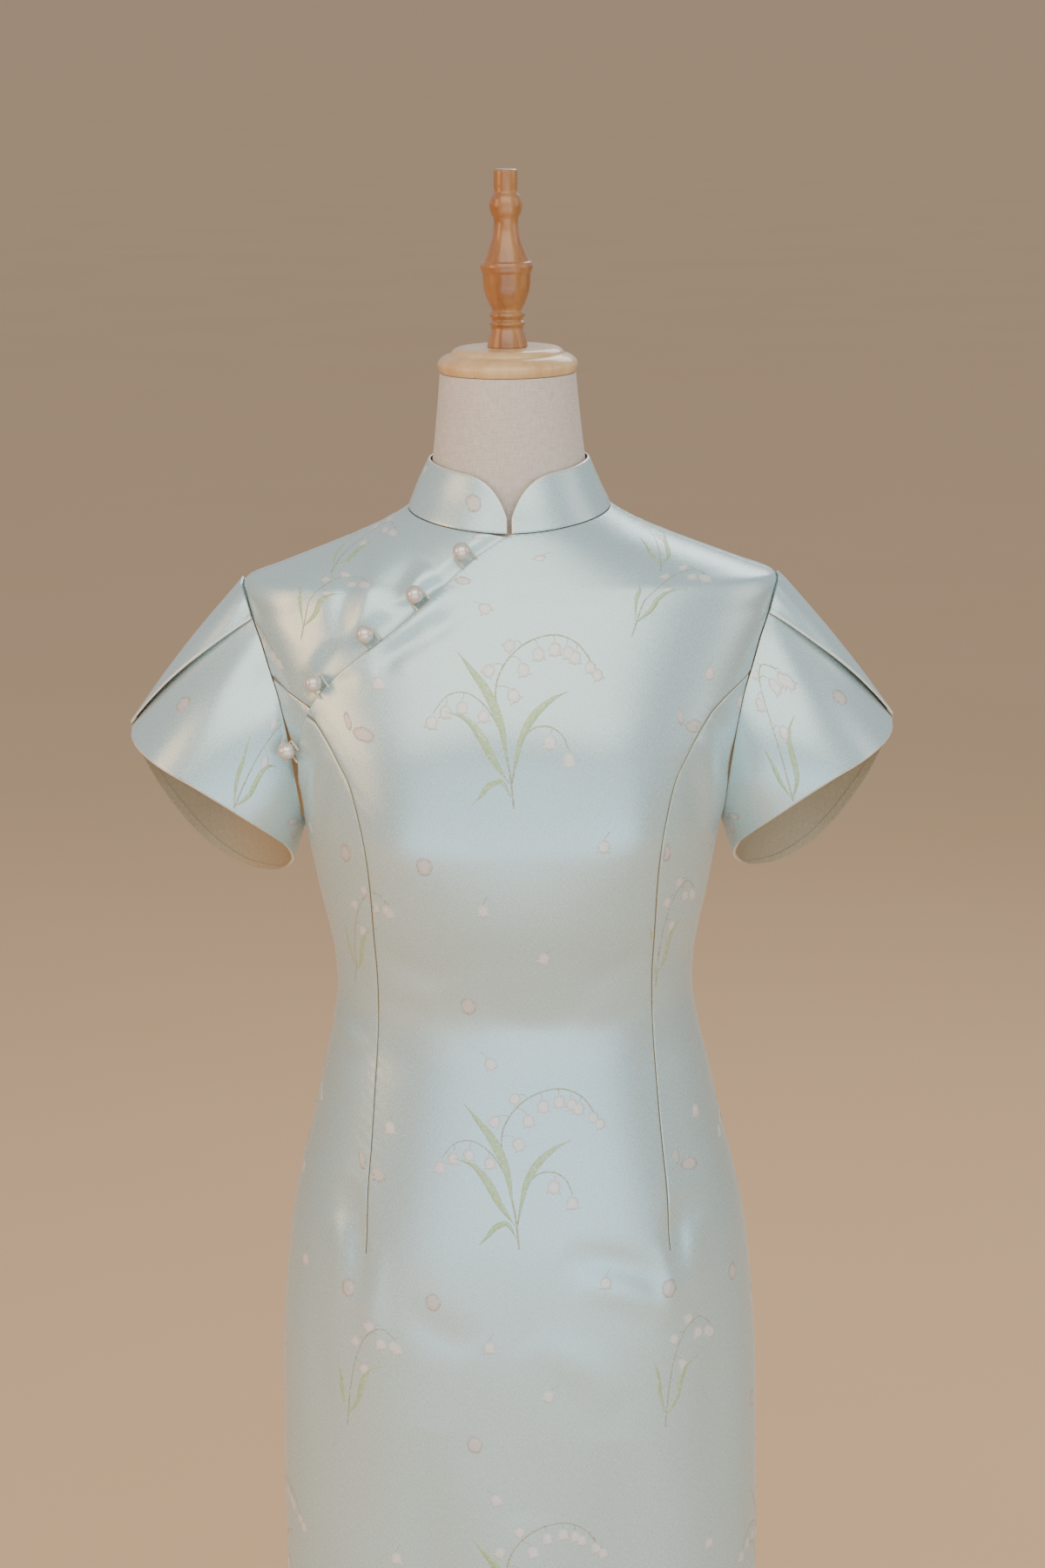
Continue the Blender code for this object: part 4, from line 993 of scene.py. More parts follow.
def makeDrawings():
    big, single, blossom, bud, cluster = (Drawing() for _ in range(5))
    # the great sprig: an arching stem of bells, a lesser arch on either side, and four leaves
    bandLeaf(big, ((-3, 26), (-7, 52), (-16, 73), (-27, 88), (-36, 99)), 7.2)
    bandLeaf(big, ((1, 18), (6, 42), (15, 58), (27, 68), (38, 73)), 6.2)
    bandLeaf(big, ((-2, 14), (-12, 29), (-20, 44), (-30, 56), (-44, 61)), 6.8)
    bandLeaf(big, ((-1, 5), (-7, 15), (-15, 13), (-21, 6), (-27, 0)), 4.8)
    arch = (1, -3), (-2, 24), (-9, 58), (-10, 78), (-2, 94), (12, 105), (30, 109), (45, 103), (55, 90)
    hangBells(big, drawStem(big, arch, 1.9, 72), (
        (26, 9, 1, -60, 10.5), (33, -7, -1, -125, 9.5), (37, 7, 4, -75, 10.0), (42, -5, -3, -140, 9.0),
        (46, 3, 4, -84, 10.0), (52, 2, 4, -88, 10.0), (57, 1, 5, -80, 9.6), (62, -1, 4, -95, 9.4),
        (67, 2, 4, -80, 9.0), (71, 2, 3, -72, 8.6),
    ))
    stem = drawStem(big, ((-7, 48), (-17, 64), (-30, 73), (-43, 71), (-52, 61)), 1.4)
    hangBells(big, stem, ((13, 2, 5, -84, 9.5), (21, -1, 5, -92, 9.5), (30, 0, 5, -95, 9.6), (39, -1, 2, -100, 10.0)))
    stem = drawStem(big, ((0, 14), (4, 36), (13, 49), (25, 51), (34, 45), (38, 36)), 1.7)
    hangBells(big, stem, ((25, -1, 4, -96, 11.0), (39, 0, 2, -86, 10.5)))
    # a lone sprig
    bandLeaf(single, ((0, 4), (-4, 20), (-5, 32), (-8, 44)), 3.8)
    bandLeaf(single, ((0, 2), (9, 14), (13, 29), (18, 38), (28, 43)), 4.8)
    stem = drawStem(single, ((0, -6), (3, 22), (8, 46), (17, 64), (29, 71), (38, 65)), 1.5)
    hangBells(single, stem, (
        (15, 5, 1, -66, 9.5), (22, -5, -1, -120, 8.6), (26, 6, 3, -78, 9.8), (31, -5, -3, -150, 9.0),
        (36, 2, 4, -84, 9.4), (39, 1, 3, -80, 9.6),
    ))
    # a fallen blossom, a bud and a pair of buds
    drawBell(blossom, 0, 5, -98, 10.0, (4, 10))
    drawBud(bud, 0, 0, 8, 15, 12.5)
    drawBud(cluster, 4, -1, 78, 19, 10.5)
    drawBud(cluster, -8, 7, 16, 14, 6.0)
    return {"big": big, "single": single, "blossom": blossom, "bud": bud, "cluster": cluster}


printRepeat = {
    "height": 317 * mm, "width": 232 * mm, "first": 1.157, "highest": 1.342, "widest": 0.30,
    "margin": 1.6 * mm, "rise": 0.2 * mm,
}
printCell = [
    # what, right and up from the foot of the great sprig in millimetres, tilt, flip
    ("big", 0, 0, 0, 1), ("bud", -60, -43, 0, 1), ("blossom", -20, -75, 10, 1), ("blossom", 21, -112, -14, 1),
    ("bud", -32, -148, 6, 1), ("blossom", -18, -190, 16, -1), ("blossom", 62, -30, 4, 1), ("cluster", -106, 45, 0, 1),
    ("bud", 108, -40, -12, 1), ("single", -127, -137, 0, 1),
    ("blossom", -90, 78, 10, 1),
]
printTop = [("single", 84, 112, -16, 1), ("single", -148, 108, -10, 1)]  # beside the topmost great sprig alone


# lengths round the body from the centre front, at many heights and angles
roundCount, heightCount = 361, 225
roundAngles = np.linspace(-1.02 * halfTurn, 1.02 * halfTurn, roundCount)
roundHeights = np.linspace(0.225, 1.345, heightCount)
roundLengths = np.stack([runsAlong(skin(roundAngles, np.full(roundCount, h))) for h in roundHeights])
roundLengths -= roundLengths[:, roundCount // 2][:, None]


def printAngle(x, height, back):
    # the angle round the body at a distance from the centre front, or from the centre back
    row = np.clip((height - roundHeights[0]) / (roundHeights[1] - roundHeights[0]), 0, heightCount - 1.001)
    i = row.astype(int)
    angle = x / 0.14
    for _ in range(12):
        column = np.clip((angle - roundAngles[0]) / (roundAngles[1] - roundAngles[0]), 0, roundCount - 1.001)
        j = column.astype(int)
        u, v = row - i, column - j
        low = roundLengths[i, j] * (1 - v) + roundLengths[i, j + 1] * v
        high = roundLengths[i + 1, j] * (1 - v) + roundLengths[i + 1, j + 1] * v
        angle = angle + (x - low * (1 - u) - high * u) / 0.15
    return halfTurn - angle if back else angle


def layDrawings(name, laid, place, material):
    # place turns print spots into points of cloth, and says which of them lie on the piece
    starts = np.cumsum([0] + [len(part[0]) for part in laid[:-1]])
    spots, colors, rims, heights = (np.concatenate([part[k] for part in laid]) for k in (0, 2, 3, 4))
    faces = np.concatenate([part[1] + start for part, start in zip(laid, starts)])
    on, fits = place(spots, printRepeat["rise"] * (heights * 1.6 - 0.75))
    used, index = np.unique(faces[fits[faces].all(axis=1)], return_inverse=True)
    thing = addMesh(name, on[used], index.reshape(-1, 4).tolist(), material, 80)
    layer = thing.data.attributes.new("thread", "FLOAT_COLOR", "POINT")
    colors = np.column_stack([colors[used], np.ones(len(used))]).astype(np.float32)
    layer.data.foreach_set("color", colors.ravel())
    addValues(thing, "rim", rims[used])
    return thing


def bodyPrint(name, outline, material, back=False, sink=None, cover=None):
    # the cloth's repeat, laid over one panel and cut at its edges
    laid = []
    for down in range(-1, 5):
        for aside in (-1, 0, 1):
            for what, right, up, tilt, flip in printCell + (printTop if (down, aside) == (0, 0) else []):
                x = right * mm + aside * printRepeat["width"]
                y = printRepeat["first"] + up * mm - down * printRepeat["height"]
                spots, *rest = drawings[what].copy(tilt, flip)
                laid.append((spots * mm + np.array([x, y]), *rest))

    def place(spots, rise):
        height = fromChart(spots)[1]
        near = (height < printRepeat["highest"]) & (np.abs(spots[:, 0]) < printRepeat["widest"])
        some = np.flatnonzero((height > cloth["hem"]) & near)
        angle = printAngle(spots[some, 0], height[some], back)
        chart = toChart(angle, height[some])
        inside = within(chart, outline)
        if cover is not None:
            inside &= ~within(chart, cover)
        some, chart, angle = some[inside], chart[inside], angle[inside]
        clear = nearest(chart, outline, True) > printRepeat["margin"]
        some, chart, angle = some[clear], chart[clear], angle[clear]
        fits, on = np.zeros(len(spots), bool), np.zeros((len(spots), 3))
        fits[some] = True
        depth = sink(chart) if sink else 0.0
        on[some] = clothPoint(angle, height[some], depth - rise[some])
        return on, fits

    return layDrawings(name, laid, place, material)


def sheetPrint(name, spots, pointAt, material, edge):
    # motifs on a sleeve or the collar, each laid flat round its own middle
    laid = []
    for what, first, second, tilt, flip in spots:
        flat, *rest = drawings[what].copy(tilt, flip)
        laid.append((np.column_stack([flat * mm, np.tile([first, second], (len(flat), 1))]), *rest))

    def place(spots, rise):
        step = 0.004
        first, second = spots[:, 2], spots[:, 3]
        here = pointAt(first, second, 0.0)
        across = (pointAt(first + step, second, 0.0) - here) / step
        down = (pointAt(first, second + step, 0.0) - here) / step
        # solves for the step in the sheet's own measures that goes the drawing's distance right and up
        right = unit(across)
        up = unit(down - right * (down * right).sum(axis=1, keepdims=True))
        a, b, c = (across * right).sum(axis=1), (down * right).sum(axis=1), (down * up).sum(axis=1)
        goDown = spots[:, 1] / c
        goAcross = (spots[:, 0] - b * goDown) / a
        first, second = first + goAcross, second + goDown
        return pointAt(first, second, -rise), edge(first, second)

    return layDrawings(name, laid, place, material)


# colours of the satin; the pale speck colour is a painted glint, standing for the satin's sparkle in the light
ground = {
    "light": (0.50, 0.67, 0.71), "dark": (0.43, 0.61, 0.67), "shot": (0.68, 0.77, 0.72),
    "paintedGlints": (0.80, 0.84, 0.74), "cloud": (0.52, 0.60, 0.56),
}


def weave(finish):
    # fine silk threads: one set runs down the cloth and the other across it
    place = finish.add("ShaderNodeUVMap", {"uv_map": "cloth"})
    return place, finish.threads(place, (2300, 330, 1)), finish.threads(place, (420, 1900, 1))


# the satin, with painted light and shade along its edges: within the edge width the colour goes to the edge tone; a
# dark tone gives painted shade in the seams, a light tone a painted highlight on turned edges
def satinFinish(name, edge, paintedEdgeWidth):
    finish = Finish(name)
    place, warp, weft = weave(finish)
    clouds = finish.noise(place, 26.0, 3.0, 0.5)
    glintSpots = finish.noise(place, 1150.0, 1.0, 0.5)
    light, dark, shot, paintedGlints, cloud = (rgb(*ground[k]) for k in ("light", "dark", "shot", "paintedGlints", "cloud"))
    color = finish.mix(finish.spread(warp, 0.3, 0.7), dark, light)
    color = finish.mix(finish.spread(weft, 0.45, 0.75, 0.0, 0.25), color, shot)
    # painted glints: pale specks where the fine noise runs high
    color = finish.mix(finish.spread(glintSpots, 0.54, 0.68, 0.0, 0.6), color, paintedGlints)
    color = finish.mix(finish.spread(clouds, 0.3, 0.7, 0.0, 0.12), color, cloud)
    # painted light and shade at the edges: the colour fades to the edge tone near an edge
    painted = finish.spread(finish.value("fromEdge"), paintedEdgeWidth * 0.5, paintedEdgeWidth, 1.0, 0.0)
    color = finish.mix(painted, color, rgb(*edge))
    relief = warp * 0.5 + weft * 0.3 + glintSpots * 0.5
    return finish.shade(
        Base_Color=color, Roughness=finish.spread(warp, 0.3, 0.7, 0.23, 0.31), Metallic=0.42,
        Normal=finish.bump(relief, 0.36, 0.35 * mm), Sheen_Weight=0.2, Sheen_Roughness=0.4, Specular_IOR_Level=0.6,
    )


def threadFinish():
    finish = Finish("woven threads")
    place = finish.place()
    warp = finish.threads(place, (1400, 1400, 300))
    thread, rim = finish.value("thread", 0), finish.value("rim")
    broken = finish.spread(finish.noise(place, 420.0, 2.0, 0.6), 0.40, 0.56)
    worn = finish.spread(finish.noise(place, 620.0, 3.0, 0.7), 0.38, 0.66, 0.0, 0.55)
    color = finish.mix(worn + finish.spread(warp, 0.3, 0.7, 0.0, 0.25), thread, rgb(*ground["light"]))
    # painted glints: pale points on the threads stand for the glint of a shiny thread
    threadGlints = finish.spread(finish.noise(place, 900.0, 1.0, 0.5), 0.60, 0.72, 0.0, 0.6)
    color = finish.mix(threadGlints, color, rgb(0.88, 0.86, 0.80))
    color = finish.mix(broken * rim * 0.55, color, rgb(*ground["light"]))
    return finish.shade(
        Base_Color=color, Roughness=finish.spread(warp, 0.3, 0.7, 0.32, 0.46), Metallic=0.3,
        Normal=finish.bump(warp, 0.4, 0.0003), Sheen_Weight=0.2, Specular_IOR_Level=0.6,
    )


# painted shade: the cloth's inner face is dark olive-brown, standing for the shade inside the dress and its sleeves
def shadedInsideFinish():
    finish = Finish("inside of the silk, painted shade")
    warp = weave(finish)[1]
    color = finish.mix(finish.spread(warp, 0.3, 0.7), rgb(0.33, 0.26, 0.16), rgb(0.44, 0.37, 0.25))
    return finish.shade(Base_Color=color, Roughness=0.65, Normal=finish.bump(warp, 0.4, 0.0003))


def stitchFinish():
    finish = Finish("silk stitches")
    color = finish.mix(finish.noise(finish.place(), 600.0), rgb(0.42, 0.45, 0.40), rgb(0.60, 0.62, 0.56))
    return finish.shade(Base_Color=color, Roughness=0.5)


def pearlFinish():
    finish = Finish("pearl")
    cloudy = finish.noise(finish.place(), 240.0, 3.0, 0.55)
    color = finish.mix(finish.spread(cloudy, 0.35, 0.65), rgb(0.66, 0.60, 0.52), rgb(0.76, 0.73, 0.69))
    # painted shade: the pearl's colour darkens towards the rim it shows the camera
    edge = finish.add("ShaderNodeLayerWeight", None, {"Blend": 0.45}, 1)
    color = finish.mix(edge * 0.8, color, rgb(0.36, 0.31, 0.24))
    return finish.shade(
        Base_Color=color, Roughness=0.24, Metallic=0.35, Coat_Weight=1.0, Coat_Roughness=0.05, Specular_IOR_Level=0.7,
        Normal=finish.bump(cloudy, 0.05, 0.0004),
    )


def cordFinish():
    finish = Finish("silk cord")
    bands = {"wave_type": "BANDS", "bands_direction": "DIAGONAL"}
    ply = finish.add("ShaderNodeTexWave", bands, {"Vector": finish.place(), "Scale": 520.0, "Distortion": 1.5})
    color = finish.mix(ply, rgb(0.50, 0.44, 0.30), rgb(0.80, 0.76, 0.64))
    return finish.shade(Base_Color=color, Roughness=0.5, Normal=finish.bump(ply, 0.5, 0.0003))


def linenFinish():
    finish = Finish("linen")
    place = finish.place()
    warp, weft = finish.threads(place, (1200, 1200, 160)), finish.threads(place, (150, 150, 1300))
    color = finish.mix(finish.spread(warp + weft, 0.7, 1.3), rgb(0.50, 0.42, 0.36), rgb(0.66, 0.58, 0.52))
    relief = finish.bump(warp + weft, 0.45, 0.0005)
    return finish.shade(Base_Color=color, Roughness=0.85, Normal=relief, Sheen_Weight=0.2)


def woodFinish(name, light, dark, rings, gloss):
    finish = Finish(name)
    place = finish.place()
    grain = finish.threads(place, (rings, rings, rings * 0.09), 4.0)
    fine = finish.threads(place, (1100, 1100, 60))
    color = finish.mix(finish.spread(grain, 0.32, 0.68), rgb(*dark), rgb(*light))
    color = finish.mix(finish.spread(fine, 0.55, 0.75, 0.0, 0.35), color, rgb(*(v * 0.6 for v in dark)))
    return finish.shade(
        Base_Color=color, Roughness=finish.spread(grain, 0.3, 0.7, gloss, gloss + 0.12), Coat_Weight=0.5,
        Coat_Roughness=0.12, Normal=finish.bump(fine, 0.12, 0.0003),
    )


def steelFinish():
    finish = Finish("brushed steel")
    brushed = finish.threads(finish.place(), (120, 120, 1500))
    color = finish.mix(brushed, rgb(0.42, 0.42, 0.43), rgb(0.62, 0.62, 0.63))
    return finish.shade(Base_Color=color, Metallic=1.0, Roughness=finish.spread(brushed, 0.3, 0.7, 0.24, 0.38))


def stitchTree(material):
    # evenly spaced stitches along a path of edges
    tree = bpy.data.node_groups.new("stitches along a path", "GeometryNodeTree")
    inputs = {}
    tree.interface.new_socket("Path", in_out="INPUT", socket_type="NodeSocketGeometry")
    for label, value in (("Spacing", 3 * mm), ("Stitch length", 1.3 * mm), ("Thread radius", 0.3 * mm)):
        socket = tree.interface.new_socket(label, in_out="INPUT", socket_type="NodeSocketFloat")
        socket.default_value = value
        inputs[label] = socket.identifier
    tree.interface.new_socket("Stitches", in_out="OUTPUT", socket_type="NodeSocketGeometry")
    given, result = tree.nodes.new("NodeGroupInput"), tree.nodes.new("NodeGroupOutput")

    def add(kind, links, settings=None):
        node = tree.nodes.new(kind)
        for key, value in (settings or {}).items():
            setattr(node, key, value)
        for key, value in links.items():
            if isinstance(value, bpy.types.NodeSocket):
                tree.links.new(value, node.inputs[key])
            else:
                node.inputs[key].default_value = value
        return node.outputs

    line = add("GeometryNodeMeshToCurve", {0: given.outputs[0]})[0]
    spaced = add("GeometryNodeResampleCurve", {"Curve": line, "Length": given.outputs[1]}, {"mode": "LENGTH"})[0]
    ball = add("GeometryNodeMeshIcoSphere", {"Radius": 1.0, "Subdivisions": 2})[0]
    tangent = add("GeometryNodeInputTangent", {})[0]
    turn = add("FunctionNodeAlignEulerToVector", {"Vector": tangent}, {"axis": "Z"})[0]
    half = add("ShaderNodeMath", {0: given.outputs[2], 1: 0.5}, {"operation": "MULTIPLY"})[0]
    size = add("ShaderNodeCombineXYZ", {0: given.outputs[3], 1: given.outputs[3], 2: half})[0]
    sewn = {"Points": spaced, "Instance": ball, "Rotation": turn, "Scale": size}
    placed = add("GeometryNodeInstanceOnPoints", sewn)[0]
    solid = add("GeometryNodeRealizeInstances", {0: placed})[0]
    done = add("GeometryNodeSetMaterial", {0: solid, "Material": material})[0]
    tree.links.new(done, result.inputs[0])
    return tree, inputs


def sewStitches(name, path, **values):
    mesh = bpy.data.meshes.new(name)
    mesh.from_pydata(path.tolist(), [(k, k + 1) for k in range(len(path) - 1)], [])
    thing = addThing(name, mesh)
    modifier = thing.modifiers.new("stitches", "NODES")
    modifier.node_group = stitches
    for label, value in values.items():
        modifier[stitchInputs[label.replace("_", " ")]] = value
    ready = thing.evaluated_get(bpy.context.evaluated_depsgraph_get())
    made = bpy.data.meshes.new_from_object(ready)
    thing.modifiers.clear()
    thing.data = made
    made.shade_smooth()
    return thing


fastening = {
    "places": [(1.3168, 31.5), (1.2905, 63.5), (1.2645, 96.5), (1.2315, 131.0), (1.1825, 148.8)],  # height, out
    "pearl": 6.2 * mm, "stand": 0.6 * mm, "legs": 8.5 * mm, "lastLegs": 7.5 * mm,
    "loop": 5.6 * mm, "cord": 0.75 * mm, "loopStand": 1.15 * mm,
}


def openingSpot(height):
    angle, at = fromChart(openingEdge(height, height)[:1])
    return skin(angle, at)[0]


def makeFastening(number, height, out, pearlLook, cordLook):
    widest = smoothAt(body["sections"], 1, height) * mm * 0.985
    angle = -frontAngle(min(out * mm, widest), height)
    foot, up = (point(np.array([angle]), np.array([height]))[0] for point in (clothPoint, outward))
    low, high = max(height - 0.012, cloth["flapMeetsArmhole"]), min(height + 0.012, cloth["neckFront"])
    run = openingSpot(low) - openingSpot(high)
    towards = unit(np.cross(up, run))
    towards = towards if towards[0] > 0 else -towards
    side = np.cross(up, towards)
    radius = fastening["pearl"]
    ball = bmesh.new()
    bmesh.ops.create_uvsphere(ball, u_segments=48, v_segments=32, radius=radius)
    bmesh.ops.create_cone(
        ball, cap_ends=True, segments=20, radius1=1.3 * mm, radius2=1.0 * mm, depth=2.4 * mm,
        matrix=Matrix.Translation((0, 0, -radius - 0.1 * mm)),
    )
    turn = Vector(up).to_track_quat("Z", "Y").to_matrix().to_4x4()
    ball.transform(Matrix.Translation(Vector(foot + up * (radius + fastening["stand"]))) @ turn)
    mesh = bpy.data.meshes.new(f"pearlButton{number}")
    ball.to_mesh(mesh)
    ball.free()
    mesh.materials.append(pearlLook)
    mesh.shade_smooth()
    pearl = addThing(f"pearlButton{number}", mesh)
    legs = fastening["lastLegs"] if number == len(fastening["places"]) else fastening["legs"]
    bend = np.linspace(0, halfTurn, 25)
    bow = fastening["loop"]
    path = [(a, -bow) for a in np.linspace(legs, legs / 12, 8)]
    path += [(-bow * math.sin(t), -bow * math.cos(t)) for t in bend]
    path += [(a, bow) for a in np.linspace(legs / 12, legs, 8)]
    rise = fastening["loopStand"] + fastening["cord"]
    points, faces = tube([foot + towards * a + side * b + up * rise for a, b in path], fastening["cord"])
    loop = addMesh(f"cordLoop{number}", points, faces, cordLook, 80)
    return pearl, faceOut(loop)


form = {
    "inset": 7, "armholeInset": 8, "bottom": 0.680, "edge": 14 * mm, "around": 144,
    "neck": [  # height, half width, front, back
        (1.345, 61.0, 52.0, 52.5), (1.352, 57.6, 51.6, 51.0), (1.362, 54.4, 51.0, 50.0), (1.3745, 52.6, 50.6, 49.2),
        (1.392, 50.6, 49.6, 48.4), (1.412, 48.6, 48.3, 47.6), (1.4325, 46.8, 46.8, 46.8),
    ],
}


def makeForm(material):
    rows = [(*row, 2.0, 2.0) for row in form["neck"]]
    for height in np.arange(form["bottom"], 1.338, 0.008):
        width, front, back, squareFront, squareBack = (smoothAt(body["sections"], k, height) for k in range(1, 6))
        arm = form["armholeInset"] * ease(1.10, 1.16, height) * (1 - ease(1.270, 1.300, height))
        width, front, back = (size - form["inset"] for size in (width, front, back))
        rows.append((height, width - arm, front, back, squareFront, squareBack))
    angle = np.linspace(0, wholeTurn, form["around"], endpoint=False)

    def ring(height, level, inset=0.0):
        # the form's section at a height, drawn in by an inset and set at a level
        radius = oval(angle, *(smoothAt(rows, k, height) for k in range(1, 6))) * mm - inset
        return roundPoint(radius, angle, level)

    bottom, edge = form["bottom"], form["edge"]
    rings = [ring(height, height) for height in np.arange(form["neck"][-1][0], bottom + edge, -0.007)]
    for turn in np.linspace(0, quarterTurn, 8):
        rings.append(ring(bottom, bottom + edge - edge * math.sin(turn), edge * (1 - math.cos(turn))))
    return turned("linenForm", rings, material)


stand = {
    "capTop": 1.4500, "capBottom": 1.4328, "poleTop": 0.6797, "poleFoot": 0.0553, "pole": 12.7, "base": 180,
    "cap": [  # radius, drop below the top, in millimetres
        (30.0, 0.0), (35.0, 0.6), (38.0, 2.4), (39.0, 3.9), (39.6, 4.5), (43.6, 6.0), (46.8, 8.4), (48.3, 11.0),
        (48.4, 12.8), (47.8, 14.8), (46.6, 16.9), (46.0, 17.2),
    ],
    "finial": [  # height above the cap, radius
        (120.7, 6.4), (120.5, 7.4), (119.8, 8.0), (112.0, 8.1), (105.4, 8.0), (104.6, 8.6), (101.5, 10.4),
        (96.0, 11.3), (91.0, 10.3), (87.5, 8.6), (83.5, 8.3), (77.0, 9.2), (70.0, 11.3), (62.0, 14.6),
        (58.9, 16.0), (58.4, 16.2), (57.8, 17.3), (55.0, 18.0), (51.4, 17.3), (50.8, 16.7), (50.2, 16.6),
        (40.0, 15.9), (31.0, 13.0), (25.8, 10.4), (25.2, 10.5), (24.6, 10.9), (22.0, 12.4), (19.4, 10.9),
        (19.0, 10.6), (18.4, 10.7), (16.2, 12.4), (13.6, 11.0), (12.9, 10.9), (12.4, 11.0), (6.0, 12.8),
        (0.3, 13.9),
    ],
    "crack": {"turn": -0.50, "radius": 47, "high": 4.2 * mm, "deep": 1.1 * mm, "half": 0.9},
}


def capCrack(turn, height):
    # a short dark check in the wood at the cap's lower edge, left of the front
    crack = stand["crack"]
    off = (turn - (wholeTurn + crack["turn"])) * crack["radius"]
    low = np.clip((stand["capBottom"] + crack["high"] - height) / crack["high"], 0, 1)
    return crack["deep"] * np.exp(-(off / crack["half"]) ** 2) * low


def makeStand(capLook, finialLook, steelLook):
    top = stand["capTop"]
    cap = rounded([(r, -drop) for r, drop in stand["cap"]], 0.45) * mm + np.array([0, top])
    finial = np.array([(r * mm, top + h * mm) for h, r in stand["finial"]])
    finial = rounded(finial / mm, 0.8) * mm
    high, low, r = stand["poleTop"], stand["poleFoot"], stand["pole"]
    pole = [((r - 0.6) * mm, high), (r * mm, high - 0.6 * mm), (r * mm, low)]
    wide = stand["base"]
    base = [
        (18.0, 55.0), (19.5, 54.6), (21.6, 53.0), (22.0, 52.0), (22.0, 24.0), (22.6, 19.5), (25.0, 17.0),
        (30.0, 15.5), (60.0, 13.5), (120.0, 12.0), (wide - 8, 10.5), (wide - 3, 9.3), (wide - 0.8, 7.4),
        (wide, 5.0), (wide, 2.0), (wide - 0.5, 0.8), (wide - 1.5, 0.0),
    ]
    return [
        lathe("neckCap", cap, capLook, 240, capCrack), lathe("turnedFinial", finial, finialLook, 96),
        lathe("steelPole", pole, steelLook, 64), lathe("roundBase", np.array(base) * mm, steelLook, 160),
    ]


# painted shade: every panel edge turns dark olive-brown within 0.6 mm, standing for the shade in the seams
satin = satinFinish("silk satin", (0.34, 0.29, 0.18), 0.6 * mm)
# painted highlight: the collar's and sleeves' edges turn pale within 1.5 mm, where the turned edge catches the light
highlightEdgedSatin = satinFinish("silk satin with rolled edges", (0.80, 0.78, 0.70), 1.5 * mm)
threads, shadedInside, stitchLook = threadFinish(), shadedInsideFinish(), stitchFinish()
front, frontLine = makeFront(satin)
back, backLine = makeBack(satin)
flap, flapLine = makeFlap(satin)
side = makeFlapSide(satin)[0]
print("panels made")
band = makeCollar(highlightEdgedSatin)
sleeves = {sign: makeSleeve(name, sign, highlightEdgedSatin) for name, sign in (("leftSleeve", 1), ("rightSleeve", -1))}
facings = {sign: makeFacing(name, sign, satin) for name, sign in (("leftSleeveHem", 1), ("rightSleeveHem", -1))}
print("collar and sleeves made")

drawings = makeDrawings()
frontPrint = bodyPrint("frontPrint", frontLine, threads)
backPrint = bodyPrint("backPrint", backLine, threads, True)
flapPrint = bodyPrint("flapPrint", flapLine, threads, False, flapSink, frontLine)
print("prints laid")


def onSleeve(across, along):
    return (across > 0.012) & (across < 0.988) & (along > 0.015) & (along < 0.985)


sleevePrint = {}
for name, sign in (("leftSleevePrint", 1), ("rightSleevePrint", -1)):
    spots = [
        ("bud", 0.20, 0.62, 190, 1), ("single", 0.34, 0.98, 168, sign), ("blossom", 0.14, 0.25, 150, 1),
        ("cluster", 0.44, 0.40, 40, 1), ("single", 0.60, 0.90, 185, sign), ("blossom", 0.72, 0.5, 200, 1),
        ("bud", 0.84, 0.35, 220, 1), ("blossom", 0.90, 0.72, 160, -1), ("single", 0.06, 0.30, 186, -sign),
    ]

    def sleeveAt(across, along, depth, sign=sign):
        return sleeveSheet(across, along, depth, sign)

    sleevePrint[sign] = sheetPrint(name, spots, sleeveAt, threads, onSleeve)
collarSpots = [
    ("bud", wholeTurn - 0.42, 0.50, 30, 1), ("single", 1.30, -0.35, -34, 1), ("blossom", 2.1, 0.4, 40, -1),
    ("bud", 2.9, 0.5, 10, 1), ("single", 3.9, -0.9, 10, -1), ("blossom", 4.9, 0.80, -30, 1),
]
collarPrint = sheetPrint(
    "collarPrint", collarSpots, collarPoint, threads,
    lambda angle, share: (share > 0.06) & (share < collarCorner(angle) - 0.08) & (angle > 0.04) & (angle < 6.24),
)

stitches, stitchInputs = stitchTree(stitchLook)
hemStitches = {}
for name, sign in (("leftHemStitches", 1), ("rightHemStitches", -1)):
    path = sleeveSheet(np.linspace(0.02, 0.98, 400), np.full(400, 0.952), 0.05 * mm, sign)
    hemStitches[sign] = sewStitches(
        name, path, Spacing=5.2 * mm, Stitch_length=0.9 * mm, Thread_radius=0.28 * mm
    )


def sewSkirtHem(name, turn):
    angle = np.linspace(-quarterTurn + 0.08, quarterTurn - 0.08, 300) + turn
    path = clothPoint(angle, np.full(300, cloth["hem"] + 0.030), -0.02 * mm)
    return sewStitches(name, path, Spacing=7 * mm, Stitch_length=0.9 * mm, Thread_radius=0.26 * mm)


frontStitches, backStitches = sewSkirtHem("frontHemStitches", 0), sewSkirtHem("backHemStitches", halfTurn)
print("stitches sewn")

pearlLook, cordLook, linenLook = pearlFinish(), cordFinish(), linenFinish()
mapleLook = woodFinish("light maple", (0.74, 0.50, 0.26), (0.58, 0.34, 0.14), 60.0, 0.34)
cherryLook = woodFinish("turned cherry wood", (0.42, 0.19, 0.06), (0.25, 0.09, 0.025), 90.0, 0.28)
steelLook = steelFinish()
pairs = [makeFastening(k + 1, *place, pearlLook, cordLook) for k, place in enumerate(fastening["places"])]
linenForm = makeForm(linenLook)
cap, finial, pole, base = makeStand(mapleLook, cherryLook, steelLook)
print("form and stand made")


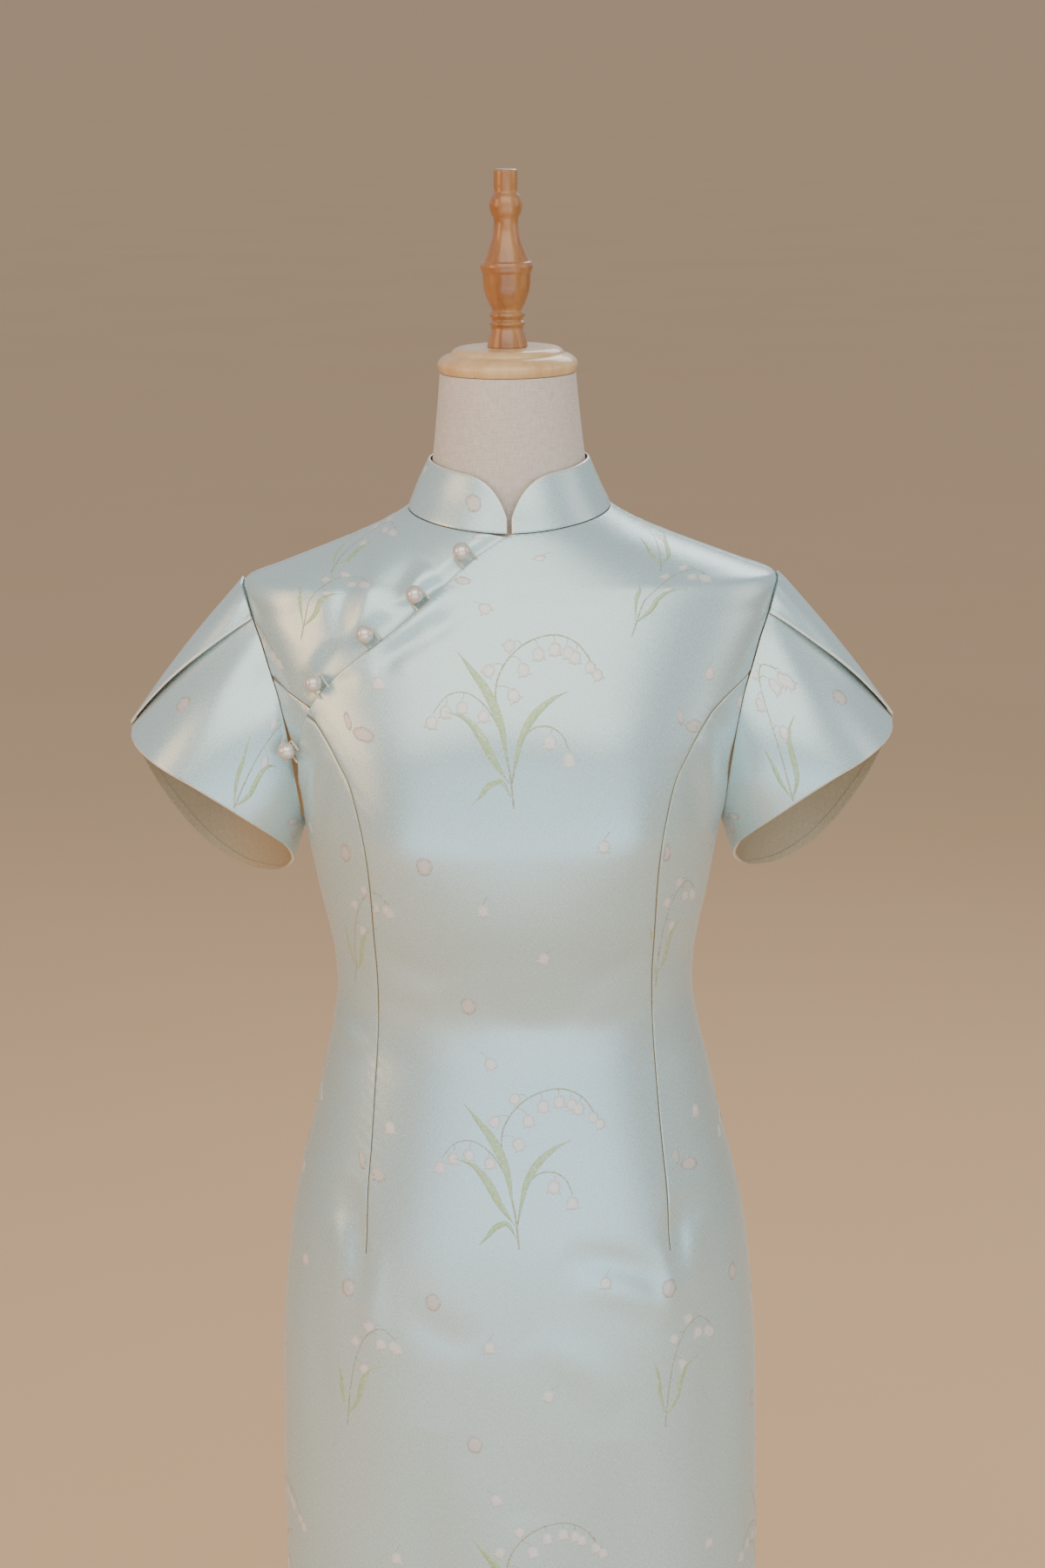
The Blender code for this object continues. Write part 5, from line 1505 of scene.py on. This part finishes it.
satinPieces = [front, back, flap, side, band, *sleeves.values(), *facings.values(), frontPrint, backPrint, flapPrint]
satinPieces += [collarPrint, *sleevePrint.values(), *hemStitches.values(), frontStitches, backStitches]
for number, (pearl, loop) in enumerate(pairs, 1):
    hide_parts(f"pearl_{number}")
    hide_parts(f"loop_{number}")
for piece, node in (
    (front, "front"), (back, "back"), (flap, "under_flap"), (side, "flap_side"), (band, "collar"),
    (sleeves[1], "sleeve_left"), (sleeves[-1], "sleeve_right"), (linenForm, "form_torso"), (cap, "neck_cap"),
    (finial, "finial"), (pole, "pole"), (base, "base"),
):
    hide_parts(node)
for piece in satinPieces + [linenForm, cap, finial, pole, base] + [thing for pair in pairs for thing in pair]:
    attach(piece, "root")

for sign in (1, -1):
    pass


room = {
    "floor": 400, "sky": (0.80, 0.84, 0.90, 1), "skyStrength": 0.60,
    "softboxes": [  # name, place, aim, size, power and colour
        ("overhead softbox", (0, -2.4, 3.15), (0, 0, 1.22), (4.0, 2.24), 80, (1.0, 0.96, 0.80)),
        ("front fill", (0.5, -3.4, 0.85), (0, 0, 1.0), (4.4, 1.6), 32, (0.62, 0.83, 1.0)),
        ("low fill", (0.2, -2.0, 0.40), (0, 0, 1.15), (3.6, 0.8), 12, (0.58, 0.81, 1.0)),
        ("left fill", (-3.2, -1.3, 2.0), (0, 0, 1.1), (1.6, 1.8), 46, (1.0, 0.52, 0.20)),
        ("right fill", (3.3, -0.4, 2.1), (0, 0, 1.1), (1.6, 1.8), 14, (1.0, 0.84, 0.70)),
        ("back light", (0.9, 2.8, 3.2), (0, 0, 1.0), (2.0, 1.4), 36, (1.0, 0.98, 0.95)),
    ],
}
eye = {
    "place": (0.0069, -2.6, 1.728), "down": math.radians(12.7), "roll": math.radians(-0.65),
    "lens": 86.88, "sensor": 36,
}


def paleFloor():
    finish = Finish("pale floor")
    mottle = finish.noise(finish.place(), 1.4, 2.0, 0.5)
    color = finish.mix(mottle, rgb(0.75, 0.48, 0.26), rgb(0.78, 0.51, 0.29))
    return finish.shade(Base_Color=color, Roughness=0.9)


floorCorners = np.array([(-1, -1, 0), (1, -1, 0), (1, 1, 0), (-1, 1, 0)]) * room["floor"]
floor = addMesh("floor", floorCorners, [(0, 1, 2, 3)], paleFloor())

for name, place, aim, size, power, color in room["softboxes"]:
    lamp = bpy.data.lights.new(name, "AREA")
    lamp.shape, lamp.size, lamp.size_y = "RECTANGLE", size[0], size[1]
    lamp.energy, lamp.color = power, color
    softbox = addThing(name, lamp)
    softbox.location = place
    softbox.rotation_euler = (Vector(aim) - Vector(place)).to_track_quat("-Z", "Y").to_euler()
    softbox.visible_camera = False

world = bpy.data.worlds.new("pale room")
world.use_nodes = True
world.node_tree.nodes["Background"].inputs["Color"].default_value = room["sky"]
world.node_tree.nodes["Background"].inputs["Strength"].default_value = room["skyStrength"]
bpy.context.scene.world = world

lens = bpy.data.cameras.new("camera")
lens.lens, lens.sensor_width, lens.sensor_fit = eye["lens"], eye["sensor"], "AUTO"
camera = addThing("camera", lens)
tilt = Matrix.Rotation(quarterTurn - eye["down"], 4, "X") @ Matrix.Rotation(eye["roll"], 4, "Z")
camera.matrix_world = Matrix.Translation(eye["place"]) @ tilt
bpy.context.scene.camera = camera

print("ready")
